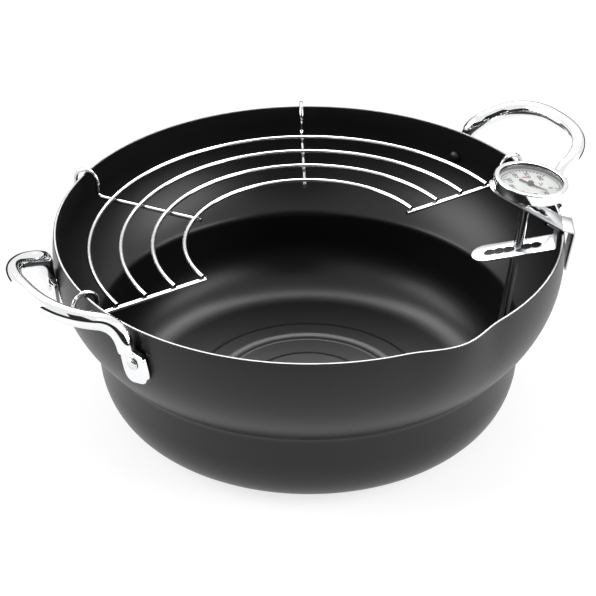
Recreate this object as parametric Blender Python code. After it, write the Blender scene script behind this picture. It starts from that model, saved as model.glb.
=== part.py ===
"""Tempura pot: a deep frying pot with a half-round wire drip rack and a clip-on dial thermometer.

Metres, +Z up. The origin is on the pot's axis at the underside of its base. The two handles lie
along X, the pouring lip points to -Y and the drip rack covers the +Y half of the mouth.
"""

from math import acos, asin, atan2, cos, degrees, pi, radians, sin, sqrt, tan

import bmesh
import bpy
from mathutils import Matrix, Vector

# Fits
CLEARANCE = 0.0003
CUT_OVERRUN = 0.004
MERGE_DISTANCE = 0.000001
MIRROR_MERGE_DISTANCE = 0.00005

# Pot: one pressed sheet, a wide rounded bowl over a narrower lower wall
RIM_RADIUS = 0.130
POT_HEIGHT = 0.1025
SHEET = 0.0014
FLOOR_THICKNESS = 0.0018
BOWL_ARC_RADIUS = 0.062
BULGE_DEPTH = 0.0107
STEP_INSET = 0.0203
STEP_BLEND = 0.004
BASE_CORNER_WIDTH = 0.022
BASE_CORNER_HEIGHT = 0.030
LIP_REACH = 0.0052
LIP_DEPTH = 0.045
LIP_HALF_ANGLE = radians(12.5)
LIP_AZIMUTH = radians(-90)
LIP_SWEEP = radians(30)

# Rings pressed into the floor
RING_RELIEF = 0.0005
OUTER_GROOVE_RADIUS = 0.063
OUTER_GROOVE_WIDTH = 0.0026
BEAD_OUTER_RADIUS = 0.052
BEAD_INNER_RADIUS = 0.045
BEAD_SLOPE = 0.0022
INNER_GROOVE_RADIUS = 0.031
INNER_GROOVE_WIDTH = 0.0016

# Handles: a round rod bent to a loop, its two ends pressed flat and riveted to the wall
HANDLE_AZIMUTHS = {"right": 0.0, "left": pi}
ROD_RADIUS = 0.0044
LOOP_ROOT_INSET = 0.0003
LOOP_ROOT_RISE = 0.0038
LOOP_TILT = radians(17.8)
LOOP_LENGTH = 0.0330
LOOP_HALF_WIDTH = 0.0344
LOOP_SQUARENESS = 2.5
LOOP_END_ANGLE = radians(75)
LEG_SWEEP_OUT = 0.0097
LEG_SWEEP_DOWN = 0.0070
SPOON_LENGTH = 0.0204
SPOON_HALF_WIDTH = 0.0080
SPOON_THICKNESS = 0.0030
SPOON_SPLAY = radians(9)
SPOON_SQUARENESS = 3.4

# Rivets: through the flattened handle ends and the wall
RIVET_SPREAD = radians(18.4)
RIVET_DEPTH = 0.0165
RIVET_DROP_IN_SPOON = 0.0010
RIVET_RADIUS = 0.0025
RIVET_HEAD_RADIUS = 0.0033
RIVET_HEAD_HEIGHT = 0.0016
RIVET_SEAT_GAP = 0.0005

# Drip rack: half rings of wire laid on four wires whose ends hook over the rim
RACK_WIRE_RADIUS = 0.00115
RACK_ARC_COUNT = 4
RACK_ARC_INSET = 0.0175
RACK_ARC_SPACING = 0.0163
RACK_ARC_DEPTH = 0.0106
RACK_ARC_OVERHANG = 0.0012
RACK_LEG_AZIMUTHS = {"right": 0.0, "back_right": radians(59), "back_left": radians(123), "left": pi}
RACK_LEG_OVERHANG = 0.0020
RACK_BEND_RADIUS = 0.0030
HOOK_RADIUS = 0.0065
HOOK_DROP = 0.0062

# Thermometer clip: two slotted strips, folded and spot-welded, hung on the rim
CLIP_AZIMUTH = radians(-33.7)
CLIP_ROLL = radians(1)
STRIP_THICKNESS = 0.0009
STRIP_HALF_WIDTH = 0.0078
STRIP_BEND_RADIUS = 0.0012
SPRING_LEG_DROP = 0.0230
SADDLE_REACH = 0.0053
SADDLE_FALL = 0.0012
CREASE_INSET = 0.0007
UPPER_ARM_PITCH = radians(31)
UPPER_ARM_LENGTH = 0.0446
LOWER_ARM_PITCH = radians(11.3)
LOWER_ARM_LENGTH = 0.0434
LOWER_ARM_DEPTH = 0.0098
WEB_SLANT = 0.0003
FLANGE_LENGTH = 0.0062
SLOT_SCALLOPS = 6
SLOT_PITCH = 0.0048
SCALLOP_RADIUS = 0.0030
UPPER_FIRST_SCALLOP = 0.0123
LOWER_FIRST_SCALLOP = 0.0100
STEM_SCALLOP = 2

# Thermometer, measured along its own axis up from the underside of the case
STEM_RADIUS = 0.0025
STEM_BORE_RADIUS = 0.0019
STEM_LENGTH = 0.095
STEM_END_THICKNESS = 0.0012
STEM_TOP_REACH = 0.0006
COLLAR_RADIUS = 0.0045
COLLAR_LENGTH = 0.0030
CASE_RADIUS = 0.0179
CASE_TAPER = 0.0012
CASE_HEIGHT = 0.0049
CASE_WALL = 0.0008
CASE_CORNER = 0.0016
DIAL_LEDGE_HEIGHT = 0.0023
DIAL_LEDGE_WIDTH = 0.0012
DIAL_THICKNESS = 0.0005
GASKET_THICKNESS = 0.0004
GASKET_WIDTH = 0.0013
LENS_THICKNESS = 0.0006
BEZEL_WALL = 0.0007
BEZEL_LIP_WIDTH = 0.0029
BEZEL_LIP_THICKNESS = 0.0005
BEZEL_OVERLAP = 0.0032
SHAFT_RADIUS = 0.0006
COIL_TURNS = 10
COIL_PITCH = 0.0012
COIL_RADIUS = 0.00125
COIL_WIRE_RADIUS = 0.00025

# Pointer
POINTER_REST_ANGLE = radians(-33)
NEEDLE_GAP = 0.0005
NEEDLE_THICKNESS = 0.0003
NEEDLE_LENGTH = 0.0098
NEEDLE_TAIL_LENGTH = 0.0065
NEEDLE_TIP_HALF_WIDTH = 0.0002
NEEDLE_TAIL_HALF_WIDTH = 0.0007
NEEDLE_EYE_RADIUS = 0.0017
HUB_RADIUS = 0.0015
HUB_HEIGHT = 0.0010
HUB_WALL = 0.0003

# How finely round shapes are cut
POT_STEPS = 54
LIP_STEPS = 9
CASE_STEPS = 32
SMALL_STEPS = 12
ROD_SIDES = 10
SPOON_STATION_SHARES = (0, 0.06, 0.13, 0.22, 0.35, 0.65, 0.8, 0.9, 0.96, 0.993)
SHARP_ANGLE = radians(35)

# Places worked out from the sizes above
WIDEST_RADIUS = RIM_RADIUS + BOWL_ARC_RADIUS - sqrt(BOWL_ARC_RADIUS ** 2 - BULGE_DEPTH ** 2)
BOWL_CENTRE_RADIUS = WIDEST_RADIUS - BOWL_ARC_RADIUS
LOWER_RADIUS = RIM_RADIUS - STEP_INSET
RACK_ARC_RADII = [RIM_RADIUS - RACK_ARC_INSET - RACK_ARC_SPACING * arc for arc in range(RACK_ARC_COUNT)]


def finish(name, bm, material, parent=None, matrix=None):
    """Turn a bmesh into a smooth-shaded object with its faces pointing out."""
    bmesh.ops.recalc_face_normals(bm, faces=bm.faces)
    mesh = bpy.data.meshes.new(name)
    bm.to_mesh(mesh)
    bm.free()
    mesh.shade_smooth()
    mesh.set_sharp_from_angle(angle=SHARP_ANGLE)
    mesh.materials.append(material)
    return place(bpy.data.objects.new(name, mesh), parent, matrix)


def place(obj, parent=None, matrix=None):
    """Link an object to the scene, in its parent's own frame."""
    bpy.context.collection.objects.link(obj)
    obj.parent = parent
    if matrix is not None:
        obj.matrix_basis = matrix
    return obj


def metal(name, colour, roughness, metallic=1.0):
    """A plain Principled material."""
    material = bpy.data.materials.new(name)
    material.use_nodes = True
    shader = material.node_tree.nodes["Principled BSDF"]
    shader.inputs["Base Color"].default_value = (*colour, 1.0)
    shader.inputs["Roughness"].default_value = roughness
    shader.inputs["Metallic"].default_value = metallic
    return material


def spin_outline(bm, outline, closed, start, sweeps):
    """Spin an outline of (radius, height) points about Z, in sweeps of (angle, steps)."""
    verts = []
    for radius, height in outline:
        verts.append(bm.verts.new((radius * cos(start), radius * sin(start), height)))
    pairs = list(zip(verts, verts[1:]))
    if closed:
        pairs.append((verts[-1], verts[0]))
    geometry = verts + [bm.edges.new(pair) for pair in pairs]
    for angle, steps in sweeps:
        swept = bmesh.ops.spin(bm, geom=geometry, axis=(0, 0, 1), cent=(0, 0, 0),
                               angle=angle, steps=steps, use_duplicate=False)
        geometry = swept["geom_last"]
    bmesh.ops.remove_doubles(bm, verts=bm.verts, dist=MERGE_DISTANCE)


def turned(name, outline, material, steps=SMALL_STEPS, closed=False, parent=None, matrix=None):
    """A turned piece; an outline that isn't closed starts and ends on the axis."""
    bm = bmesh.new()
    spin_outline(bm, outline, closed, 0.0, [(2 * pi, steps)])
    return finish(name, bm, material, parent, matrix)


def loft(bm, rings, cap_start=True, cap_end=True):
    """Join rings of points, each with the same count, into a skin."""
    loops = [[bm.verts.new(point) for point in ring] for ring in rings]
    for ring, following in zip(loops, loops[1:]):
        for index in range(len(ring)):
            after = (index + 1) % len(ring)
            bm.faces.new((ring[index], ring[after], following[after], following[index]))
    if cap_start:
        bm.faces.new(loops[0])
    if cap_end:
        bm.faces.new(reversed(loops[-1]))


def cut(obj, cutter):
    """Take the cutter's solid out of an object."""
    boolean = obj.modifiers.new("cut_" + cutter.name, 'BOOLEAN')
    boolean.operation = 'DIFFERENCE'
    boolean.solver = 'EXACT'
    boolean.object = cutter


def hide_cutter(obj):
    """Mark an object as a cutting guide."""
    obj.hide_render = True
    obj.display_type = 'WIRE'
    return obj


def mix(first, second, share):
    """The value that lies a share of the way between two values."""
    return first + (second - first) * share


def smooth_share(share):
    """A share eased in and out between 0 and 1."""
    share = min(max(share, 0.0), 1.0)
    return share * share * (3 - 2 * share)


def signed_power(value, power):
    """The power of a value's size, with the value's sign."""
    return abs(value) ** power * (1 if value >= 0 else -1)


def bezier(start, start_pull, end_pull, end, share):
    """A point on a cubic curve."""
    rest = 1 - share
    return (start * rest ** 3 + start_pull * 3 * rest * rest * share
            + end_pull * 3 * rest * share * share + end * share ** 3)


def rounded(points, radius, steps=4):
    """Round the inner corners of a flat path with arcs."""
    path = [points[0]]
    for before, corner, after in zip(points, points[1:], points[2:]):
        into = (corner - before).normalized()
        out = (after - corner).normalized()
        turn = atan2(into.x * out.y - into.y * out.x, into.dot(out))
        side = 1 if turn > 0 else -1
        centre = corner - into * radius * tan(abs(turn) / 2) + Vector((-into.y, into.x)) * radius * side
        spoke = Vector((into.y, -into.x)) * radius * side
        for step in range(steps + 1):
            spin = turn * step / steps
            path.append(centre + Vector((spoke.x * cos(spin) - spoke.y * sin(spin),
                                         spoke.x * sin(spin) + spoke.y * cos(spin))))
    path.append(points[-1])
    return path


# Materials
coated_steel = metal("coated_steel", (0.028, 0.028, 0.030), 0.38, 0.55)
polished_steel = metal("polished_steel", (0.86, 0.86, 0.87), 0.08)
rivet_steel = metal("rivet_steel", (0.80, 0.80, 0.81), 0.16)
rack_wire = metal("rack_wire", (0.84, 0.84, 0.85), 0.14)
clip_steel = metal("clip_steel", (0.80, 0.80, 0.81), 0.20)
case_steel = metal("case_steel", (0.78, 0.78, 0.79), 0.12)
dial_white = metal("dial_white", (0.85, 0.86, 0.85), 0.45, 0.0)
needle_black = metal("needle_black", (0.03, 0.03, 0.03), 0.40, 0.0)
gasket_rubber = metal("gasket_rubber", (0.04, 0.04, 0.04), 0.70, 0.0)
spring_bronze = metal("spring_bronze", (0.66, 0.45, 0.25), 0.30)
lens_glass = metal("lens_glass", (0.92, 0.95, 0.94), 0.05, 0.0)


# Pot
def wall_outline(offset, floor):
    """The wall from the rim to the floor's edge, moved inward by an offset, (radius, height)."""
    arc = BOWL_ARC_RADIUS - offset
    lower = LOWER_RADIUS - offset
    corner_angle = acos((lower - BOWL_CENTRE_RADIUS) / arc)
    blend_angle = STEP_BLEND / BOWL_ARC_RADIUS
    bulge_height = POT_HEIGHT - BULGE_DEPTH
    top_angle = -asin(BULGE_DEPTH / arc)
    outline = []
    arc_points = 7
    for point in range(arc_points + 1):
        angle = mix(top_angle, corner_angle - blend_angle, point / arc_points)
        outline.append((BOWL_CENTRE_RADIUS + arc * cos(angle), bulge_height - arc * sin(angle)))
    start = Vector(outline[-1])
    corner = Vector((lower, bulge_height - arc * sin(corner_angle)))
    end = corner - Vector((0, STEP_BLEND))
    outline.append(tuple(start / 4 + corner / 2 + end / 4))
    outline.append(tuple(end))
    width = BASE_CORNER_WIDTH - offset
    height = BASE_CORNER_HEIGHT - floor
    corner_points = 6
    for point in range(corner_points + 1):
        angle = pi / 2 * point / corner_points
        outline.append((lower - width + width * cos(angle), BASE_CORNER_HEIGHT - height * sin(angle)))
    return outline


def floor_outline():
    """The rings pressed into the floor, from the outer groove to the centre, (radius, height)."""
    outer = OUTER_GROOVE_WIDTH / 2
    inner = INNER_GROOVE_WIDTH / 2
    relief = [
        (OUTER_GROOVE_RADIUS + outer, 0),
        (OUTER_GROOVE_RADIUS, -RING_RELIEF),
        (OUTER_GROOVE_RADIUS - outer, 0),
        (BEAD_OUTER_RADIUS, 0),
        (BEAD_OUTER_RADIUS - BEAD_SLOPE, RING_RELIEF),
        (BEAD_INNER_RADIUS + RING_RELIEF, RING_RELIEF),
        (BEAD_INNER_RADIUS, 0),
        (INNER_GROOVE_RADIUS + inner, 0),
        (INNER_GROOVE_RADIUS, -RING_RELIEF),
        (INNER_GROOVE_RADIUS - inner, 0),
        (0, 0),
    ]
    return [(radius, FLOOR_THICKNESS + height) for radius, height in relief]


def push_out_lip(bm):
    """Press the pouring lip outward, most at the rim and fading down the wall."""
    for vert in bm.verts:
        depth = POT_HEIGHT - vert.co.z
        aside = atan2(vert.co.y, vert.co.x) - LIP_AZIMUTH
        if depth < LIP_DEPTH and abs(aside) < LIP_HALF_ANGLE:
            across = cos(pi / 2 * aside / LIP_HALF_ANGLE) ** 2
            push = LIP_REACH * across * (1 - depth / LIP_DEPTH) ** 2
            vert.co += Vector((vert.co.x, vert.co.y, 0)).normalized() * push


def seat_matrix(azimuth, depth):
    """A frame on the wall's outer face: X points out of the wall and Z up along it."""
    slope = asin((depth - BULGE_DEPTH) / BOWL_ARC_RADIUS)
    radius = BOWL_CENTRE_RADIUS + BOWL_ARC_RADIUS * cos(slope)
    there = Matrix.Translation((radius, 0, POT_HEIGHT - depth))
    return Matrix.Rotation(azimuth, 4, 'Z') @ there @ Matrix.Rotation(slope, 4, 'Y')


def rivet_seats():
    """Each rivet's name and seat on the wall."""
    seats = {}
    for side, azimuth in HANDLE_AZIMUTHS.items():
        back = 1 if side == "right" else -1
        seats["rivet_" + side + "_back"] = seat_matrix(azimuth + back * RIVET_SPREAD, RIVET_DEPTH)
        seats["rivet_" + side + "_front"] = seat_matrix(azimuth - back * RIVET_SPREAD, RIVET_DEPTH)
    return seats


def build_rivet_holes():
    """One cutter with a cylinder through the wall at every rivet."""
    bm = bmesh.new()
    for seat in rivet_seats().values():
        bmesh.ops.create_cone(bm, cap_ends=True, segments=SMALL_STEPS,
                              radius1=RIVET_RADIUS + CLEARANCE, radius2=RIVET_RADIUS + CLEARANCE,
                              depth=2 * (SHEET + SPOON_THICKNESS + CUT_OVERRUN),
                              matrix=seat @ Matrix.Rotation(pi / 2, 4, 'Y'))
    return hide_cutter(finish("rivet_holes", bm, coated_steel))


def build_pot(holes):
    """The pot's body, spun in two sweeps so that the lip has finer steps."""
    outline = [(0, 0)] + wall_outline(0, 0)[::-1]
    outline += wall_outline(SHEET, FLOOR_THICKNESS) + floor_outline()
    bm = bmesh.new()
    spin_outline(bm, outline, False, LIP_AZIMUTH + LIP_SWEEP / 2,
                 [(2 * pi - LIP_SWEEP, POT_STEPS), (LIP_SWEEP, LIP_STEPS)])
    push_out_lip(bm)
    cut(finish("pot_body", bm, coated_steel), holes)


# Handles
def spoon_station(share, seat):
    """Centre, run, thickness direction, half thickness and half width at a share down the spoon."""
    spread = abs(2 * share - 1) ** SPOON_SQUARENESS
    half_width = SPOON_HALF_WIDTH * max(1 - spread, 0) ** (1 / SPOON_SQUARENESS)
    if share < 0.5:
        half_width = max(half_width, ROD_RADIUS)
    half_thickness = mix(ROD_RADIUS, SPOON_THICKNESS / 2, smooth_share(4 * share))
    along = SPOON_LENGTH * (share - 0.5) + RIVET_DROP_IN_SPOON
    run = Vector((0, sin(SPOON_SPLAY), -cos(SPOON_SPLAY)))
    centre = run * along + Vector((CLEARANCE + half_thickness, 0, 0))
    turn = seat.to_3x3()
    return seat @ centre, turn @ run, turn @ Vector((-1, 0, 0)), half_thickness, half_width


def handle_stations():
    """Half of the handle, from the middle of the loop to the tip of the spoon."""
    up = Vector((-sin(LOOP_TILT), 0, cos(LOOP_TILT)))
    root = Vector((RIM_RADIUS - LOOP_ROOT_INSET, 0, POT_HEIGHT + LOOP_ROOT_RISE))
    loop = []
    loop_points = 11
    for point in range(loop_points + 1):
        angle = LOOP_END_ANGLE * point / loop_points
        reach = LOOP_LENGTH * cos(angle) ** (2 / LOOP_SQUARENESS)
        aside = LOOP_HALF_WIDTH * sin(angle) ** (2 / LOOP_SQUARENESS)
        loop.append(root + Vector((reach * cos(LOOP_TILT), aside, reach * sin(LOOP_TILT))))
    seat = seat_matrix(RIVET_SPREAD, RIVET_DEPTH)
    top, run, inward, _, _ = spoon_station(0, seat)
    leave = (loop[-1] - loop[-2]).normalized()
    leg = []
    leg_points = 7
    for point in range(1, leg_points):
        leg.append(bezier(loop[-1], loop[-1] + leave * LEG_SWEEP_OUT, top - run * LEG_SWEEP_DOWN,
                          top, point / leg_points))
    centres = loop + leg
    stations = []
    for index, centre in enumerate(centres):
        following = centres[index + 1] if index + 1 < len(centres) else top
        before = centres[index - 1] if index else centre
        run_here = (following - before).normalized() if index else Vector((0, 1, 0))
        down_leg = smooth_share((index - len(loop) + 1) / leg_points)
        stations.append((centre, run_here, up.lerp(inward, down_leg), ROD_RADIUS, ROD_RADIUS))
    for share in SPOON_STATION_SHARES:
        stations.append(spoon_station(share, seat))
    return stations


def handle_ring(centre, run, facing, half_thickness, half_width):
    """One cross-section: round on the rod, a rounded bar on the spoon."""
    across = run.cross(facing).normalized()
    facing = across.cross(run).normalized()
    flatness = 1 - half_thickness / ROD_RADIUS
    power = 2 / (2 + 3 * flatness)
    ring = []
    for side in range(ROD_SIDES):
        angle = 2 * pi * (side + 0.5) / ROD_SIDES
        ring.append(centre + facing * half_thickness * signed_power(cos(angle), power)
                    + across * half_width * signed_power(sin(angle), power))
    return ring


def build_handle(side, azimuth, holes):
    """Half of the handle, mirrored across the handle's middle plane."""
    bm = bmesh.new()
    loft(bm, [handle_ring(*station) for station in handle_stations()], cap_start=False)
    handle = finish("handle_" + side, bm, polished_steel, matrix=Matrix.Rotation(azimuth, 4, 'Z'))
    mirror = handle.modifiers.new("other_half", 'MIRROR')
    mirror.use_axis = (False, True, False)
    mirror.merge_threshold = MIRROR_MERGE_DISTANCE
    cut(handle, holes)


# Rivets
def dome(foot, direction):
    """A rivet head from its rim to its top, (radius, height)."""
    head = [(RIVET_HEAD_RADIUS, foot)]
    for angle in (radians(25), radians(50), radians(72)):
        head.append((RIVET_HEAD_RADIUS * cos(angle), foot + direction * RIVET_HEAD_HEIGHT * sin(angle)))
    head.append((0, foot + direction * RIVET_HEAD_HEIGHT))
    return head


def build_rivets():
    """Solid rivets, headed on both sides of the wall and the handle."""
    outside = CLEARANCE + SPOON_THICKNESS + CLEARANCE
    inside = -SHEET - RIVET_SEAT_GAP
    outline = dome(inside, -1)[::-1] + [(RIVET_RADIUS, inside), (RIVET_RADIUS, outside)]
    outline += dome(outside, 1)
    for name, seat in rivet_seats().items():
        turned(name, outline, rivet_steel, matrix=seat @ Matrix.Rotation(pi / 2, 4, 'Y'))


# Drip rack, in a frame on the pot's axis at the height of the rim
def wire(name, points, radius, material, parent=None, matrix=None):
    """A round wire with capped ends along a path."""
    curve = bpy.data.curves.new(name, 'CURVE')
    curve.dimensions = '3D'
    curve.bevel_depth = radius
    curve.bevel_resolution = 1
    curve.use_fill_caps = True
    spline = curve.splines.new('POLY')
    spline.points.add(len(points) - 1)
    for spot, point in zip(spline.points, points):
        spot.co = (*point, 1.0)
    curve.materials.append(material)
    return place(bpy.data.objects.new(name, curve), parent, matrix)


def build_rack_arcs(frame):
    """Half rings, each a little longer than half a turn so that it lies on the end wires."""
    for number, radius in enumerate(RACK_ARC_RADII, 1):
        over = RACK_ARC_OVERHANG / radius
        spans = 16 + 3 * (len(RACK_ARC_RADII) - number)
        points = []
        for point in range(spans + 1):
            angle = mix(-over, pi + over, point / spans)
            points.append((radius * cos(angle), radius * sin(angle), -RACK_ARC_DEPTH))
        wire(f"rack_arc_{number}", points, RACK_WIRE_RADIUS, rack_wire, frame)


def rack_leg_path():
    """A leg in its own plane: out under the arcs, up along the wall and over the rim."""
    leg_height = -RACK_ARC_DEPTH - 2 * RACK_WIRE_RADIUS - CLEARANCE
    hook_middle = RIM_RADIUS - SHEET / 2
    hook_height = CLEARANCE + RACK_WIRE_RADIUS - HOOK_RADIUS
    start = Vector((RACK_ARC_RADII[-1] - RACK_LEG_OVERHANG, leg_height))
    corner = Vector((hook_middle - HOOK_RADIUS, leg_height))
    path = rounded([start, corner, Vector((corner.x, hook_height))], RACK_BEND_RADIUS)
    hook_points = 10
    for point in range(1, hook_points + 1):
        angle = pi - pi * point / hook_points
        path.append(Vector((hook_middle + HOOK_RADIUS * cos(angle),
                            hook_height + HOOK_RADIUS * sin(angle))))
    path.append(path[-1] - Vector((0, HOOK_DROP)))
    return path


def build_rack_legs(frame):
    """Four hooked wires under the arcs."""
    points = [(spot.x, 0, spot.y) for spot in rack_leg_path()]
    for name, azimuth in RACK_LEG_AZIMUTHS.items():
        wire("rack_leg_" + name, points, RACK_WIRE_RADIUS, rack_wire, frame, Matrix.Rotation(azimuth, 4, 'Z'))


# Thermometer clip, in its own frame: X out of the pot, Y along the rim, Z up from the rim
def arm_frame(root, pitch):
    """A slotted arm's frame: X runs inward along the arm and Z stands square on it."""
    along = Vector((-cos(pitch), 0, sin(pitch)))
    across = Vector((0, 1, 0))
    turn = Matrix((along, across, along.cross(across))).transposed()
    return Matrix.Translation((root.x, 0, root.y)) @ turn.to_4x4()


def clip_places():
    """The corners of both folded strips, (out, up) from the rim."""
    half = STRIP_THICKNESS / 2
    sag = STRIP_HALF_WIDTH ** 2 / (2 * RIM_RADIUS)
    roll_lift = STRIP_HALF_WIDTH * sin(CLIP_ROLL)
    fall = SADDLE_FALL / SADDLE_REACH
    rim_gap = CLEARANCE + roll_lift + half * sqrt(1 + fall * fall)
    leg_side = WIDEST_RADIUS - RIM_RADIUS + CLEARANCE + half
    places = {}
    places["leg_end"] = Vector((leg_side, rim_gap - SPRING_LEG_DROP))
    places["saddle_end"] = Vector((SADDLE_REACH, rim_gap - SADDLE_FALL))
    places["crease"] = Vector((-CREASE_INSET, rim_gap + CREASE_INSET * fall))
    upper_run = Vector((-cos(UPPER_ARM_PITCH), sin(UPPER_ARM_PITCH)))
    places["upper_tip"] = places["crease"] + upper_run * UPPER_ARM_LENGTH
    below = Vector((-sin(UPPER_ARM_PITCH), -cos(UPPER_ARM_PITCH))) * (STRIP_THICKNESS + CLEARANCE)
    web_side = -(SHEET + CLEARANCE + half + sag + STRIP_THICKNESS)
    under_crease = places["crease"] + below
    places["web_top"] = under_crease + upper_run * (under_crease.x - web_side) / cos(UPPER_ARM_PITCH)
    places["flange_end"] = places["web_top"] + upper_run * FLANGE_LENGTH
    places["root"] = Vector((web_side - WEB_SLANT, -LOWER_ARM_DEPTH))
    lower_run = Vector((-cos(LOWER_ARM_PITCH), -sin(LOWER_ARM_PITCH)))
    places["lower_tip"] = places["root"] + lower_run * LOWER_ARM_LENGTH
    return places


def round_tip(path):
    """Add stations near a path's last point where a strip's end is rounded; gives path and widths."""
    end = path[-1]
    run = (end - path[-2]).normalized()
    stations = [(point, STRIP_HALF_WIDTH) for point in path[:-1]]
    for angle in (90, 70, 52, 36, 22, 10):
        back = STRIP_HALF_WIDTH * (1 - cos(radians(angle)))
        stations.append((end - run * back, STRIP_HALF_WIDTH * sin(radians(angle))))
    return stations


def strip(name, path, parent):
    """A folded strip with a square start and a round end."""
    stations = round_tip(path)
    rings = []
    for index, (point, half_width) in enumerate(stations):
        before = stations[max(index - 1, 0)][0]
        following = stations[min(index + 1, len(stations) - 1)][0]
        run = (following - before).normalized()
        normal = Vector((-run.y, run.x)) * STRIP_THICKNESS / 2
        upper = point + normal
        lower = point - normal
        rings.append([(upper.x, -half_width, upper.y), (upper.x, half_width, upper.y),
                      (lower.x, half_width, lower.y), (lower.x, -half_width, lower.y)])
    bm = bmesh.new()
    loft(bm, rings)
    return finish(name, bm, clip_steel, parent)


def scallop_outline():
    """A row of overlapping circles, as one outline."""
    neck = acos(SLOT_PITCH / 2 / SCALLOP_RADIUS)
    upper = []
    arc_points = 4
    for scallop in range(SLOT_SCALLOPS):
        first = pi if scallop == 0 else pi - neck
        last = 0.0 if scallop == SLOT_SCALLOPS - 1 else neck
        for point in range(arc_points + 1):
            if scallop and point == 0:
                continue
            angle = mix(first, last, point / arc_points)
            upper.append((scallop * SLOT_PITCH + SCALLOP_RADIUS * cos(angle),
                          SCALLOP_RADIUS * sin(angle)))
    lower = [(x, -y) for x, y in upper[-2:0:-1]]
    return upper + lower


def slot_cutter(name, root, pitch, first_scallop, parent):
    """The scalloped slot's cutter, set across an arm."""
    bm = bmesh.new()
    reach = STRIP_THICKNESS + CUT_OVERRUN
    face = bm.faces.new([bm.verts.new((x, y, -reach)) for x, y in scallop_outline()])
    raised = bmesh.ops.extrude_face_region(bm, geom=[face])
    top = [item for item in raised["geom"] if isinstance(item, bmesh.types.BMVert)]
    bmesh.ops.translate(bm, vec=(0, 0, 2 * reach), verts=top)
    matrix = arm_frame(root, pitch) @ Matrix.Translation((first_scallop, 0, 0))
    return hide_cutter(finish(name, bm, clip_steel, parent, matrix))


def build_clip(frame):
    """The two strips of the clip."""
    places = clip_places()
    upper = rounded([places[key] for key in ("leg_end", "saddle_end", "crease", "upper_tip")],
                    STRIP_BEND_RADIUS)
    lower = rounded([places[key] for key in ("flange_end", "web_top", "root", "lower_tip")],
                    STRIP_BEND_RADIUS)
    cut(strip("clip_upper_strip", upper, frame),
        slot_cutter("upper_slot", places["crease"], UPPER_ARM_PITCH, UPPER_FIRST_SCALLOP, frame))
    cut(strip("clip_lower_strip", lower, frame),
        slot_cutter("lower_slot", places["root"], -LOWER_ARM_PITCH, LOWER_FIRST_SCALLOP, frame))


# Thermometer
def thermometer_matrix():
    """The thermometer's frame in the clip's: its stem runs through one scallop of each arm."""
    places = clip_places()
    upper_reach = UPPER_FIRST_SCALLOP + STEM_SCALLOP * SLOT_PITCH
    lower_reach = LOWER_FIRST_SCALLOP + STEM_SCALLOP * SLOT_PITCH
    upper = places["crease"] + Vector((-cos(UPPER_ARM_PITCH), sin(UPPER_ARM_PITCH))) * upper_reach
    lower = places["root"] + Vector((-cos(LOWER_ARM_PITCH), -sin(LOWER_ARM_PITCH))) * lower_reach
    axis = (upper - lower).normalized()
    lean = atan2(axis.x, axis.y)
    tilt = UPPER_ARM_PITCH - lean
    seat_gap = STRIP_THICKNESS / 2 + CLEARANCE + CASE_CORNER
    foot_radius = CASE_RADIUS - CASE_TAPER - CASE_CORNER
    standoff = (seat_gap + foot_radius * sin(tilt)) / cos(tilt) - CASE_CORNER
    base = upper + axis * standoff
    return Matrix.Translation((base.x, 0, base.y)) @ Matrix.Rotation(lean, 4, 'Y')


def build_stem(frame):
    """The closed tube that dips into the oil, its open top inside the case."""
    top = CASE_WALL + STEM_TOP_REACH
    outline = [(0, -STEM_LENGTH)]
    for angle in (radians(30), radians(60), radians(90)):
        outline.append((STEM_RADIUS * sin(angle), -STEM_LENGTH + STEM_RADIUS * (1 - cos(angle))))
    outline += [(STEM_RADIUS, top), (STEM_BORE_RADIUS, top)]
    outline += [(STEM_BORE_RADIUS, -STEM_LENGTH + STEM_RADIUS), (0, -STEM_LENGTH + STEM_END_THICKNESS)]
    turned("thermometer_stem", outline, polished_steel, parent=frame)


def build_collar(frame):
    """The ferrule under the case, round the stem."""
    bore = STEM_RADIUS + CLEARANCE
    chamfer = (COLLAR_RADIUS - bore) / 3
    foot = -CLEARANCE - COLLAR_LENGTH
    outline = [(bore, foot), (COLLAR_RADIUS - chamfer, foot), (COLLAR_RADIUS, foot + chamfer),
               (COLLAR_RADIUS, -CLEARANCE), (bore, -CLEARANCE)]
    turned("thermometer_collar", outline, polished_steel, closed=True, parent=frame)


def build_case(frame):
    """The cup behind the dial, with a ledge for the dial and a hole for the stem."""
    foot_radius = CASE_RADIUS - CASE_TAPER
    inner = CASE_RADIUS - CASE_WALL
    ledge = inner - DIAL_LEDGE_WIDTH - CASE_TAPER
    bore = STEM_RADIUS + CLEARANCE
    outline = [(bore, 0), (foot_radius - CASE_CORNER, 0)]
    for angle in (radians(30), radians(60), radians(90)):
        outline.append((foot_radius - CASE_CORNER + CASE_CORNER * sin(angle),
                        CASE_CORNER * (1 - cos(angle))))
    outline += [(CASE_RADIUS, CASE_HEIGHT), (inner, CASE_HEIGHT), (inner, DIAL_LEDGE_HEIGHT)]
    outline += [(ledge, DIAL_LEDGE_HEIGHT), (ledge, CASE_WALL), (bore, CASE_WALL)]
    turned("thermometer_case", outline, case_steel, CASE_STEPS, closed=True, parent=frame)


def ring(name, inner, outer, foot, height, material, frame, steps=CASE_STEPS):
    """A flat ring with a square section."""
    outline = [(inner, foot), (outer, foot), (outer, foot + height), (inner, foot + height)]
    return turned(name, outline, material, steps, closed=True, parent=frame)


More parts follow.
